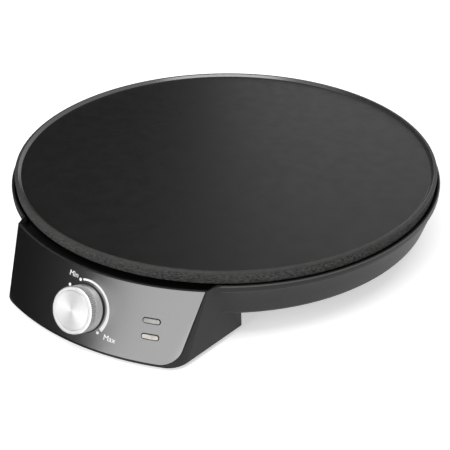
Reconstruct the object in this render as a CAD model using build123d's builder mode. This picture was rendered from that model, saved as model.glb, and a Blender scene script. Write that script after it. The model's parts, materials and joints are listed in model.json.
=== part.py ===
"""Electric crepe maker: round griddle plate on a shallow bowl housing with a front control pod.

Millimetres. The origin is on the plate's axis, on the plane the rubber feet stand on.
+Z is up and -Y is the front, where the knob is.
"""

from build123d import *
from math import asin, atan, cos, degrees, hypot, radians, sin, sqrt, tan
import os

# ---------------------------------------------------------------- driving dimensions
# Clearances
fit = 0.05  # radial clearance of a small part in its hole
play = 0.2  # the wider clearance of a hole that something only passes through
root = 0.5  # how far a boss or rib runs into what it stands on
over = 1.0  # how far a cut is run past the face it opens

# Griddle plate
plate_r = 150.0
plate_h = 7.7  # side wall and lip together
plate_t = 3.2
plate_draft = 0.2  # the side wall is this much narrower at its foot
plate_sunk = 0.3  # how far the wall hangs down inside the rim
skirt_t = 3.0
lip_h = 2.1
lip_crown_w = 2.4
lip_slope_w = 1.8
lip_outer_chamfer = 0.8
lip_inner_chamfer = 0.5
hub_rib_r = 12.0  # stiffening rings under the plate
rim_rib_in = 32.0  # from the plate's edge to the outer ring
rib_w = 2.4
rib_h = 1.6
post_r = 6.0  # screw posts under the plate
post_h = 6.9
plate_screw_in = 38.0  # from the plate's edge to the posts
plate_screw_count = 3
plate_hole_depth = 7.1

# Heating element
heater_in = 62.0  # from the plate's edge to the ring's middle line
heater_w = 6.6  # the tube is pressed to a flat-topped section, narrower at its foot
heater_t = 5.6
heater_flank = 75.0  # slope of the section's two sides
heater_leg_x = 7.0
heater_bend_r = 10.0
heater_reach = 9.0  # how far its two ends stand out in front of the pod's rear wall
groove_gap = 0.1
groove_wall = 2.7  # cast metal each side of the heater
bead_len = 4.0
bead_r = 2.8
pin_r = 1.5
tab_w = 6.3
tab_t = 0.8
tab_len = 9.0
tab_neck = 3.0

# Bowl and rim band
bowl_h = 25.7
plate_gap = 1.2  # free gap round the plate's wall
rim_w = 1.8
rim_chamfer = 0.6
rebate_h = 1.5
bowl_in = 6.0  # how much narrower the bowl is at its foot than at the rim
bowl_round = 5.0  # rounding between the bowl's wall and floor
band_h = 3.7
band_step = 0.8  # how far the band stands out from the bowl's wall
side_blend_r = 12.0  # rounding where a pod side runs into the bowl
wall = 2.2
floor_t = 2.4
screw_r = 2.0
screw_hole_r = 2.3
screw_head_r = 3.8
screw_head_h = 2.6
screw_head_play = 0.5
screw_chamfer = 0.6
tower_r = 6.5
tower_roof = 4.0  # thickness over the tower's screw recess
screw_spare = 1.0  # left free beyond a long screw's tip
standoff_r = 4.0
standoff_h = 7.2
shield_t = 0.8
shield_in = 16.0  # from the plate's edge to the shield's flat
shield_lip_w = 7.0
shield_lip_h = 8.0
shield_notch_w = 64.0
shield_notch_gap = 2.0  # from the pod's rear wall to the notch
vent_count = 16
vent_r = 66.0
vent_len = 26.0
vent_w = 4.0

# Rear legs and rubber pads
foot_gap = 2.0  # free gap under the pod
leg_in = 36.9  # from the bowl's foot to the legs' axes
leg_angle = 39.5  # each side of the rear
leg_top_r = 13.0
leg_foot_r = 9.5
leg_sole_t = 4.4
pad_r = 7.0
pad_recess = 1.0
pad_side_in = 16.4  # from the pod's upper side edge to a front pad's middle
pad_front_in = 10.0  # from the fascia's top edge to it
pad_chamfer = 0.5

# Control pod: a leaning front on one cone, and two sides that splay towards the back
under_h = 15.1  # how far the pod and the rear legs reach below the bowl
shelf_w = 5.0  # from the rim to the fascia's top edge
pod_run = 21.15  # how far the leaning front reaches out towards its foot
pod_rear_in = 38.0  # from the rim to the rear wall
side_ref_in = 16.8  # from the front's top edge to where the two half widths are measured
side_top_x = 70.4
side_flare = 1.6  # how much further out a side is at its foot
side_splay = 14.1
corner_top_r = 2.0
corner_foot_r = 15.5
rear_corner_r = 1.0
corner_least_r = 0.5  # an inset outline's front corners stay at least this round
shelf_t = 2.4
shelf_drop = 6.0  # the pod's shelf lies this far below the rim, in a dark channel
shelf_gap = 1.0  # from the shelf to the heat shield's edge
top_lip_t = 0.6  # thickness that a side wall keeps at its very top
top_lip_h = 1.0
heel_r = 1.8  # rounding of the pod's lower rear edge

# Fascia
fascia_t = 1.2
fascia_gap = 0.1
fascia_rise = 1.9  # from the pod's underside to the fascia's lower edge
fascia_corner_r = 13.0
fascia_side_top = 0.8  # how far the fascia's edge lies in from the pod's side, at its top
fascia_side_foot = 1.9
fascia_edge_gap = 0.3

# Knob and dial, measured outwards from the fascia along the knob's axis
dial_x = 2.4
dial_up = 23.6  # distance up the pod's front from its lower edge
knob_face_r = 13.9
knob_flare = 0.15  # how much wider the knob is at its foot
knob_foot_h = 0.6
knob_face_h = 11.25
knob_wall = 1.8
knob_roof = 1.4
knob_bevel = 0.5
knob_rib_count = 6
knob_rib_w = 1.2
knob_rib_foot_h = 5.4
cap_in = 2.4  # from the knob's face edge to the cap
cap_t = 0.9
cap_chamfer = 0.15
flute_count = 72
flute_depth = 0.3  # the grooves are square bars' corners, cut into the knob's surface
flute_foot_h = 5.0
flute_top_h = 10.3
hub_r = 5.0
hub_foot_h = 3.7
spring_ring_foot_h = 4.2
spring_ring_w = 1.2
spring_ring_t = 0.8
shaft_r = 3.0
shaft_flat = 2.4  # distance of the flat from the shaft's axis
shaft_flat_foot = 3.4
shaft_top_h = 8.8
shaft_depth = 4.5  # how far the shaft runs into the thermostat
shaft_chamfer = 0.3
ring_w = 5.8
ring_out = 0.6  # how far the ring shows round the knob's foot
ring_t = 0.35
glue_gap = 0.02

# Thermostat behind the knob
thermo_w = 30.0
thermo_h = 20.0
thermo_t = 14.0
thermo_round = 2.0
thermo_chamfer = 0.8
thermo_tab_x = 8.0
thermo_seat_r = 12.0  # flat seat the thermostat bears on
thermo_seat_t = 0.9
bush_r = 5.0
bush_top_h = 3.2
bush_chamfer = 0.4
nut_flat = 14.0
nut_t = 2.5
washer_t = 0.5
washer_r = 8.6
port_len = 2.5
tube_r = 0.9
tube_socket = 1.5  # how far the capillary runs into the thermostat
tube_bend_r = 4.0
tube_side = 2.0  # how far the capillary swings out beside the bulb's line
tube_rise = 15.8  # from the pod's rear wall to the foot of its rise
tube_clear = 1.8  # how far in front of that wall the rise ends
tube_mid_h = 23.4  # height over the cover at the foot of the rise
tube_over = 5.8  # height over the heat shield
tube_turn_in = 10.0  # from the heater's ring to where it turns up
tube_end_run = 7.0
bulb_r = 2.5
bulb_chamfer = 0.8
bulb_len = 48.0
bulb_x = 22.0
bulb_in = 26.0  # from the heater's ring to the bulb's end
fuse_r = 2.2
fuse_len = 14.0
fuse_x = -22.0
fuse_in = 40.0  # from the heater's ring to the fuse's middle
fuse_chamfer = 0.8
fuse_lead_r = 0.5
fuse_lead_len = 10.0
strap_t = 0.8
strap_w = 8.0
strap_foot = 8.0
strap_hole_depth = 2.4
small_screw_r = 1.4
small_head_r = 2.6
small_head_h = 1.3
screw_end_gap = 0.3  # left free at the bottom of a small screw's hole

# Lamps
lamp_x = 45.8
lamp_up = (26.55, 17.35)  # up the pod's front from its lower edge
lamp_len = 10.4
lamp_h = 3.0
lamp_proud = 0.35
lamp_chamfer = 0.25
lamp_gap = 0.3
lamp_flange = 1.0
lens_seat_gap = 0.4  # the flange's front stands this far behind the curved wall
lens_flange_t = 0.8
holder_w = 22.0
holder_h = 18.0
holder_t = 8.0
holder_round = 1.5
ear_x = 14.0
ear_r = 3.3
ear_t = 2.0
ear_screw_depth = 1.9
neon_r = 1.8
neon_chamfer = 0.8
neon_len = 8.0
neon_play = 0.5
neon_room = 5.0  # depth of the pocket that the neon lies in
neon_lead_x = 2.6
neon_lead_r = 0.4
neon_lead_out = 2.0

# Mains entry
gland_x = -45.0
gland_bore_r = 3.4
gland_neck_r = 4.6
gland_flange_r = 5.7
gland_flange_t = 2.0
gland_proud = 4.0
gland_chamfer = 0.5
block_x = -44.0
block_in = 25.8  # from the pod's rear wall to the block's middle
block_w = 28.0
block_d = 14.0
block_h = 12.0
block_round = 1.0
block_chamfer = 0.6
block_pitch = 8.5
block_well_y = 4.2
block_well_r = 1.5
block_seat_h = 6.0
block_screw_depth = 1.7
wire_hole_r = 1.8
wire_hole_h = 4.4

# Bottom cover
cover_t = 1.2
cover_inset = 1.0
cover_plug_t = 1.4
cover_plug_gap = 0.3
cover_screw_seat = 1.5  # depth of its screw recesses
cover_screw_reach = 9.0
column_r = 3.8
column_h = 11.4
column_in = 5.9  # from the pod's side to the rear columns
column_rear_in = 8.3
column_front_in = 16.15
column_x = 26.0

os.makedirs("parts", exist_ok=True)

# ---------------------------------------------------------------- worked-out sizes
# Heights above the table
pod_z = foot_gap
seam_z = pod_z + cover_t  # parting line between the bottom cover and the housing
cover_top_z = seam_z + cover_plug_t
cover_screw_seat_z = pod_z + cover_screw_seat
column_top_z = cover_top_z + column_h
bowl_z = pod_z + under_h
floor_in_z = bowl_z + floor_t
rim_z = bowl_z + bowl_h
band_foot_z = rim_z - band_h - band_step
plate_foot_z = rim_z - plate_sunk
lip_z = plate_foot_z + plate_h
cook_z = lip_z - lip_h
under_plate_z = cook_z - plate_t
heater_z = under_plate_z - heater_t / 2 - groove_gap
post_z = under_plate_z - post_h
tower_z = post_z - standoff_h - shield_t
shelf_z = rim_z - shelf_drop
screw_seat_z = tower_z - tower_roof
shield_lip_z = tower_z + shield_lip_h
fascia_foot_z = pod_z + fascia_rise
gland_z = (cover_top_z + bowl_z) / 2
wire_hole_z = cover_top_z + wire_hole_h
bulb_z = under_plate_z - bulb_r - fit
fuse_z = under_plate_z - fuse_r - fit
tube_bowl_z = tower_z + shield_t + tube_over
tube_mid_z = cover_top_z + tube_mid_h

# Radii and places in plan
lip_top_r = plate_r - lip_crown_w
lip_foot_r = lip_top_r - lip_slope_w
rebate_r = plate_r + plate_gap
rim_r = rebate_r + rim_w
wall_top_r = rim_r - band_step  # outside of the bowl's wall, under its band
bowl_foot_r = rim_r - bowl_in  # where wall and floor would meet without their rounding
rim_rib_r = plate_r - rim_rib_in
plate_screw_ring_r = plate_r - plate_screw_in
heater_r = plate_r - heater_in
groove_ring_w = heater_w + 2 * groove_wall
shield_r = plate_r - shield_in
shield_lip_r = shield_r + shield_lip_w
shelf_in_r = shield_lip_r + shelf_gap
leg_x = (bowl_foot_r - leg_in) * sin(radians(leg_angle))
leg_y = (bowl_foot_r - leg_in) * cos(radians(leg_angle))
pod_top_r = rim_r + shelf_w
pod_foot_r = pod_top_r + pod_run
pod_rear_y = pod_rear_in - rim_r
side_ref_y = side_ref_in - pod_top_r
side_foot_x = side_top_x + side_flare
shield_notch_y = pod_rear_y + wall + shield_notch_gap
heater_end_y = pod_rear_y - heater_reach
bulb_end_y = bulb_in - heater_r
fuse_y = fuse_in - heater_r
tube_x = bulb_x + tube_side
tube_rise_y = pod_rear_y - tube_rise
tube_bowl_y = pod_rear_y - tube_clear
tube_turn_y = tube_turn_in - heater_r

# Slopes and thicknesses
pod_h = rim_z - pod_z
lean = atan(pod_run / pod_h)
splay = tan(radians(side_splay))
wall_slope = (wall_top_r - bowl_foot_r) / (band_foot_z - bowl_z)
wall_run = wall * hypot(1.0, wall_slope)  # the wall's thickness measured level
fascia_depth = fascia_t + fascia_gap
inner_depth = fascia_depth + wall
thermo_front = inner_depth + thermo_seat_t  # depth of its front behind the fascia's outside
thermo_back = thermo_front + thermo_t
shaft_foot = thermo_front + shaft_depth
lens_seat = inner_depth + lens_seat_gap
lens_back = lens_seat + lens_flange_t
holder_front = lens_back + fit
neon_floor = holder_front + neon_room
neon_depth = neon_r + fit - neon_floor
neon_lead_end = holder_front + holder_t + neon_lead_out
knob_foot_r = knob_face_r + knob_flare
cap_r = knob_face_r - cap_in
ring_outer_r = knob_foot_r + ring_out
ring_inner_r = ring_outer_r - ring_w
window_reach = wall + pod_run  # how far the fascia's outline is run each way through the pod's front

# Screws and pads of the bottom cover
column_rear_y = pod_rear_y - column_rear_in
column_rear_x = side_foot_x + (column_rear_y - side_ref_y) * splay - column_in
cover_screw_at = [
    (side * x, y)
    for x, y in ((column_rear_x, column_rear_y), (column_x, column_front_in - pod_foot_r))
    for side in (-1, 1)
]
pad_at = [(side * (side_top_x - pad_side_in), pad_front_in - pod_top_r) for side in (-1, 1)]
block_at = (block_x, pod_rear_y - block_in)
gland_line = Plane((gland_x, pod_rear_y, gland_z), z_dir=(0, 1, 0))


def outward(angle):
    """Unit vector square to the leaning front, at an angle from the front about the plate's axis."""
    a = radians(angle)
    return Vector(sin(a) * cos(lean), -cos(a) * cos(lean), sin(lean))


def front_plane(angle, up, x=None):
    """Plane on the fascia's outside, its z outwards and its y up the slope."""
    z = pod_z + up * cos(lean)
    r = pod_radius(z)
    if x is not None:
        return Plane((x, -sqrt(r * r - x * x), z), x_dir=(1, 0, 0), z_dir=outward(0))
    a = radians(angle)
    return Plane((r * sin(a), -r * cos(a), z), x_dir=(cos(a), sin(a), 0), z_dir=outward(angle))


def pod_radius(z):
    """Radius of the pod's leaning front at height z."""
    return pod_top_r + (rim_z - z) * tan(lean)


def pod_corner(z, front_inset=0.0, side_inset=0.0):
    """Where front arc and right side would meet at height z: (x, y)."""
    radius = pod_radius(z) - front_inset / cos(lean)
    share = (rim_z - z) / pod_h
    half_width = side_top_x + (side_foot_x - side_top_x) * share
    start = half_width - side_inset * hypot(1.0, splay) - side_ref_y * splay
    y = (-start * splay - sqrt(radius**2 * (1 + splay**2) - start**2)) / (1 + splay**2)
    return start + y * splay, y


def pod_section(z, front_inset=0.0, side_inset=0.0, rear_y=pod_rear_y):
    """The pod's plan at height z as a face: front arc, splayed sides and rounded corners."""
    x, y = pod_corner(z, front_inset, side_inset)
    rear_x = x + (rear_y - y) * splay
    share = (rim_z - z) / pod_h
    corner_r = corner_top_r + (corner_foot_r - corner_top_r) * share
    corner_r = max(corner_r - min(max(front_inset, 0.0), side_inset), corner_least_r)
    with BuildSketch(Plane.XY.offset(z)) as plan:
        with BuildLine():
            ThreePointArc((-x, y), (0, -hypot(x, y)), (x, y))
            Polyline((x, y), (rear_x, rear_y), (-rear_x, rear_y), (-x, y))
        make_face()
        fillet(plan.vertices().filter_by(lambda v: v.Y < rear_y - over), corner_r)
        fillet(plan.vertices().group_by(Axis.Y)[-1], rear_corner_r)
    return plan.sketch.face()


def pod_block(low_z, high_z, front_inset=0.0, side_inset=0.0, rear_y=pod_rear_y, mode=Mode.ADD):
    """The pod's solid form between two heights, inset from its outside."""
    ends = [pod_section(z, front_inset, side_inset, rear_y) for z in (low_z, high_z)]
    loft(ends, ruled=True, mode=mode)


def fascia_skin(depth, clearance=0.0):
    """Solid let into the pod's front: its outline square on has straight sides and round corners."""
    face_on = Plane((0, -pod_top_r, rim_z), x_dir=(1, 0, 0), z_dir=outward(0))
    top_x, top_y = pod_corner(rim_z, 0.0, fascia_side_top)
    foot_x, foot_y = pod_corner(fascia_foot_z, 0.0, fascia_side_foot)
    top = face_on.to_local_coords(Vector(top_x, top_y, rim_z))
    foot = face_on.to_local_coords(Vector(foot_x, foot_y, fascia_foot_z))
    middle = face_on.to_local_coords(Vector(0, -pod_radius(fascia_foot_z), fascia_foot_z))
    above = top + (top - foot) * (over / pod_h)
    with BuildSketch(face_on) as window:
        with BuildLine():
            ThreePointArc((-foot.X, foot.Y), (0, middle.Y), (foot.X, foot.Y))
            Polyline((foot.X, foot.Y), (above.X, above.Y), (-above.X, above.Y), (-foot.X, foot.Y))
        make_face()
        fillet(window.vertices().filter_by(lambda v: v.Y < foot.Y + over), fascia_corner_r)
        if clearance:
            offset(amount=clearance, kind=Kind.INTERSECTION)
    extrude(window.sketch, amount=window_reach, both=True)
    pod_block(seam_z, rim_z, mode=Mode.INTERSECT)
    pod_block(seam_z - over, rim_z + over, depth, depth / 2, mode=Mode.SUBTRACT)


def bar(plane, radius, start, end, mode=Mode.ADD):
    """Round bar along a plane's own z, from start to end."""
    with BuildSketch(plane.offset(start)) as end_on:
        Circle(radius)
    extrude(end_on.sketch, amount=end - start, mode=mode)


def pill(plane, length, height, start, end, mode=Mode.ADD):
    """Bar of long rounded section along a plane's own z, from start to end."""
    with BuildSketch(plane.offset(start)) as end_on:
        SlotOverall(length, height)
    extrude(end_on.sketch, amount=end - start, mode=mode)


dial = front_plane(0.0, dial_up, dial_x)
dial_axis = Axis(dial.origin, dial.z_dir)
dial_side = Plane(dial.origin, x_dir=dial.x_dir, z_dir=-dial.y_dir)
lamp_mid_up = sum(lamp_up) / 2
lamp_angle = degrees(asin(lamp_x / pod_radius(pod_z + lamp_mid_up * cos(lean))))
lamp_planes = [front_plane(lamp_angle, up) for up in lamp_up]
holder_plane = front_plane(lamp_angle, lamp_mid_up)
holder_ears = [
    Plane(holder_plane.origin + holder_plane.x_dir * side * ear_x, holder_plane.x_dir, holder_plane.z_dir)
    for side in (-1, 1)
]
straps = (
    (bulb_x, bulb_end_y + bulb_len / 2, bulb_z, bulb_r),
    (fuse_x, fuse_y, fuse_z, fuse_r),
)
strap_screw_at = [
    (x + side * (r + fit + strap_t + strap_foot / 2), y) for x, y, _, r in straps for side in (-1, 1)
]

# ---------------------------------------------------------------- griddle plate
leg_centre_x = heater_leg_x + heater_bend_r
bend_y = -sqrt((heater_r + heater_bend_r) ** 2 - leg_centre_x**2)
bend_angle = degrees(atan(-bend_y / leg_centre_x))


def heater_bar(gap, mode=Mode.ADD):
    """The heater's tube, or the room for it: an open ring with two legs that run out to the front."""
    end_y = heater_end_y - gap
    with BuildLine(Plane.XY.offset(heater_z)) as path:
        Line((-heater_leg_x, end_y), (-heater_leg_x, bend_y))
        CenterArc((-leg_centre_x, bend_y), heater_bend_r, 0, bend_angle)
        CenterArc((0, 0), heater_r, 180 + bend_angle, -(180 + 2 * bend_angle))
        CenterArc((leg_centre_x, bend_y), heater_bend_r, 180 - bend_angle, bend_angle)
        Line((heater_leg_x, bend_y), (heater_leg_x, end_y))
    with BuildSketch(Plane((-heater_leg_x, end_y, heater_z), x_dir=(1, 0, 0), z_dir=(0, 1, 0))) as end_on:
        Trapezoid(heater_w + 2 * gap, heater_t + 2 * gap, heater_flank)
    sweep(end_on.sketch, path=path.wires()[0], mode=mode)


with BuildPart() as griddle_plate:
    with BuildSketch(Plane.XZ) as section:
        with BuildLine():
            Polyline(
                (0, cook_z),
                (lip_foot_r, cook_z),
                (lip_top_r, lip_z),
                (plate_r, lip_z),
                (plate_r - plate_draft, plate_foot_z),
                (plate_r - skirt_t, plate_foot_z),
                (plate_r - skirt_t, under_plate_z),
                (0, under_plate_z),
                close=True,
            )
        make_face()
        chamfer(section.vertices().group_by(Axis.Y)[-1].sort_by(Axis.X)[-1], lip_outer_chamfer)
        chamfer(section.vertices().group_by(Axis.Y)[-1].sort_by(Axis.X)[0], lip_inner_chamfer)
    revolve(axis=Axis.Z)
    for middle_r, width, low_z in (
        (heater_r, groove_ring_w, heater_z),
        (hub_rib_r, rib_w, under_plate_z - rib_h),
        (rim_rib_r, rib_w, under_plate_z - rib_h),
    ):
        with BuildSketch(Plane.XY.offset(low_z)):
            Circle(middle_r + width / 2)
            Circle(middle_r - width / 2, mode=Mode.SUBTRACT)
        extrude(amount=under_plate_z + root - low_z)
    with BuildSketch(Plane.XY.offset(post_z)):
        with PolarLocations(plate_screw_ring_r, plate_screw_count, start_angle=90):
            Circle(post_r)
    extrude(amount=under_plate_z + root - post_z)
    with BuildSketch(Plane.XY.offset(post_z)):
        with PolarLocations(plate_screw_ring_r, plate_screw_count, start_angle=90):
            Circle(screw_r + fit)
    extrude(amount=plate_hole_depth, mode=Mode.SUBTRACT)
    with BuildSketch(Plane.XY.offset(under_plate_z)):
        with Locations(*strap_screw_at):
            Circle(small_screw_r + fit)
    extrude(amount=strap_hole_depth, mode=Mode.SUBTRACT)
    heater_bar(groove_gap, mode=Mode.SUBTRACT)
griddle_plate.part.label = "griddle_plate"
export_step(griddle_plate.part, "parts/griddle_plate.step")

with BuildPart() as plate_standoffs:
    with BuildSketch(Plane.XY.offset(tower_z + shield_t)):
        with PolarLocations(plate_screw_ring_r, plate_screw_count, start_angle=90):
            Circle(standoff_r)
            Circle(screw_hole_r, mode=Mode.SUBTRACT)
    extrude(amount=post_z - tower_z - shield_t)
plate_standoffs.part.label = "plate_standoffs"
export_step(plate_standoffs.part, "parts/plate_standoffs.step")

with BuildPart() as plate_screws:
    with BuildSketch(Plane.XY.offset(screw_seat_z - screw_head_h)):
        with PolarLocations(plate_screw_ring_r, plate_screw_count, start_angle=90):
            Circle(screw_head_r)
    extrude(amount=screw_head_h)
    with BuildSketch(Plane.XY.offset(screw_seat_z)):
        with PolarLocations(plate_screw_ring_r, plate_screw_count, start_angle=90):
            Circle(screw_r)
    extrude(amount=post_z + plate_hole_depth - screw_spare - screw_seat_z)
    chamfer(plate_screws.edges().group_by(Axis.Z)[0], screw_chamfer)
plate_screws.part.label = "plate_screws"
export_step(plate_screws.part, "parts/plate_screws.step")

# ---------------------------------------------------------------- heater and what hangs under the plate
with BuildPart() as heating_element:
    heater_bar(0)
heating_element.part.label = "heating_element"
export_step(heating_element.part, "parts/heating_element.step")

heater_ends = [
    Plane((side * heater_leg_x, heater_end_y, heater_z), x_dir=(1, 0, 0), z_dir=(0, -1, 0))
    for side in (-1, 1)
]

with BuildPart() as element_insulators:
    for end in heater_ends:
        bar(end, bead_r, 0, bead_len)
        bar(end, pin_r + fit, 0, bead_len, mode=Mode.SUBTRACT)
element_insulators.part.label = "element_insulators"
export_step(element_insulators.part, "parts/element_insulators.step")

with BuildPart() as element_tabs:
    for end in heater_ends:
        bar(end, pin_r, 0, bead_len + tab_neck)
        with BuildSketch(end.offset(bead_len + tab_neck - root)):
            Rectangle(tab_w, tab_t)
        extrude(amount=tab_len)
element_tabs.part.label = "element_tabs"
export_step(element_tabs.part, "parts/element_tabs.step")

shield_rise = atan((shield_lip_z - tower_z) / (shield_lip_r - shield_r))
with BuildPart() as heat_shield:
    with BuildSketch(Plane.XZ):
        with BuildLine():
            Polyline(
                (0, tower_z),
                (shield_r, tower_z),
                (shield_lip_r, shield_lip_z),
                (shield_lip_r - shield_t / sin(shield_rise), shield_lip_z),
                (shield_r - shield_t * tan(shield_rise / 2), tower_z + shield_t),
                (0, tower_z + shield_t),
                close=True,
            )
        make_face()
    revolve(axis=Axis.Z)
    with BuildSketch(Plane.XY.offset(tower_z - over)):
        with PolarLocations(plate_screw_ring_r, plate_screw_count, start_angle=90):
            Circle(screw_hole_r)
        with Locations((0, shield_notch_y)):
            Rectangle(shield_notch_w, 2 * shield_r, align=(Align.CENTER, Align.MAX))
    extrude(amount=shield_lip_h + 2 * over, mode=Mode.SUBTRACT)
heat_shield.part.label = "heat_shield"
export_step(heat_shield.part, "parts/heat_shield.step")

with BuildPart() as sensor_bulb:
    bar(Plane((bulb_x, bulb_end_y, bulb_z), z_dir=(0, 1, 0)), bulb_r, 0, bulb_len)
    chamfer(sensor_bulb.edges().filter_by(GeomType.CIRCLE), bulb_chamfer)
sensor_bulb.part.label = "sensor_bulb"
export_step(sensor_bulb.part, "parts/sensor_bulb.step")

with BuildPart() as thermal_fuse:
    fuse_line = Plane((fuse_x, fuse_y, fuse_z), z_dir=(0, 1, 0))
    bar(fuse_line, fuse_r, -fuse_len / 2, fuse_len / 2)
    chamfer(thermal_fuse.edges().group_by(Axis.Y)[-1], fuse_chamfer)
    bar(fuse_line, fuse_lead_r, -fuse_len / 2 - fuse_lead_len, fuse_len / 2 + fuse_lead_len)
thermal_fuse.part.label = "thermal_fuse"
export_step(thermal_fuse.part, "parts/thermal_fuse.step")


def strap(x, y, z, radius):
    """Sheet strap round the lower half of a round body, with a foot each side flat on the plate."""
    inner = radius + fit
    outer = inner + strap_t
    with BuildSketch(Plane((x, y, z), x_dir=(1, 0, 0), z_dir=(0, -1, 0))) as side_on:
        Circle(outer)
        Rectangle(2 * outer, under_plate_z - z, align=(Align.CENTER, Align.MIN))
        with Locations((0, under_plate_z - z)):
            Rectangle(2 * (outer + strap_foot), strap_t, align=(Align.CENTER, Align.MAX))
        Circle(inner, mode=Mode.SUBTRACT)
        Rectangle(2 * inner, 2 * outer, align=(Align.CENTER, Align.MIN), mode=Mode.SUBTRACT)
    extrude(side_on.sketch, amount=strap_w / 2, both=True)
    with BuildSketch(Plane.XY.offset(under_plate_z - strap_t)) as holes:
        with Locations((x + outer + strap_foot / 2, y), (x - outer - strap_foot / 2, y)):
            Circle(small_screw_r + fit)
    extrude(holes.sketch, amount=strap_t, mode=Mode.SUBTRACT)


with BuildPart() as bulb_clip:
    strap(*straps[0])
bulb_clip.part.label = "bulb_clip"
export_step(bulb_clip.part, "parts/bulb_clip.step")

with BuildPart() as fuse_clip:
    strap(*straps[1])
fuse_clip.part.label = "fuse_clip"
export_step(fuse_clip.part, "parts/fuse_clip.step")

with BuildPart() as clip_screws:
    with BuildSketch(Plane.XY.offset(under_plate_z - strap_t - small_head_h)):
        with Locations(*strap_screw_at):
            Circle(small_head_r)
    extrude(amount=small_head_h)
    with BuildSketch(Plane.XY.offset(under_plate_z - strap_t)):
        with Locations(*strap_screw_at):
            Circle(small_screw_r)
    extrude(amount=strap_t + strap_hole_depth - screw_end_gap)
clip_screws.part.label = "clip_screws"
export_step(clip_screws.part, "parts/clip_screws.step")

# ---------------------------------------------------------------- housing
with BuildPart() as columns:
    with BuildSketch(Plane.XY.offset(cover_top_z + fit)):
        with Locations(*cover_screw_at):
            Circle(column_r)
    extrude(amount=column_top_z - cover_top_z)
    pod_block(seam_z, rim_z, fascia_depth + wall / 2, wall / 2, mode=Mode.INTERSECT)

# The channel's floor between the fascia and the plate
with BuildPart() as shelf:
    pod_block(shelf_z - shelf_t, shelf_z, fascia_depth + wall / 2, wall / 2)
    with BuildSketch(Plane.XY.offset(shelf_z - shelf_t)):
        Circle(shelf_in_r)
    extrude(amount=shelf_t, mode=Mode.SUBTRACT)

with BuildPart() as fascia_pocket:
    fascia_skin(fascia_depth, fascia_edge_gap)

with BuildSketch(Plane.XZ) as bowl:
    with BuildLine():
        Polyline((0, bowl_z), (bowl_foot_r, bowl_z), (wall_top_r, band_foot_z), (0, band_foot_z), close=True)
    make_face()
    fillet(bowl.vertices().filter_by(lambda v: abs(v.X - bowl_foot_r) < 0.01), bowl_round)

# What the rounding of the bowl's foot takes off, outside the pod
with BuildPart() as foot_cut:
    with BuildSketch(Plane.XZ):
        with Locations((bowl_foot_r - bowl_round, bowl_z - over)):
            Rectangle(
                bowl_round + side_blend_r,
                over + bowl_round * (1 - sin(atan(wall_slope))),
                align=(Align.MIN, Align.MIN),
            )
        add(bowl.sketch_local, mode=Mode.SUBTRACT)
    revolve(axis=Axis.Z)
    pod_block(seam_z, rim_z, mode=Mode.SUBTRACT)


def wall_gap(edge):
    """How far an edge's middle lies from the bowl's plain wall."""
    middle = edge @ 0.5
    wall_r = min(bowl_foot_r + (middle.Z - bowl_z) * wall_slope, wall_top_r)
    return hypot(middle.X, middle.Y) - wall_r


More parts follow.
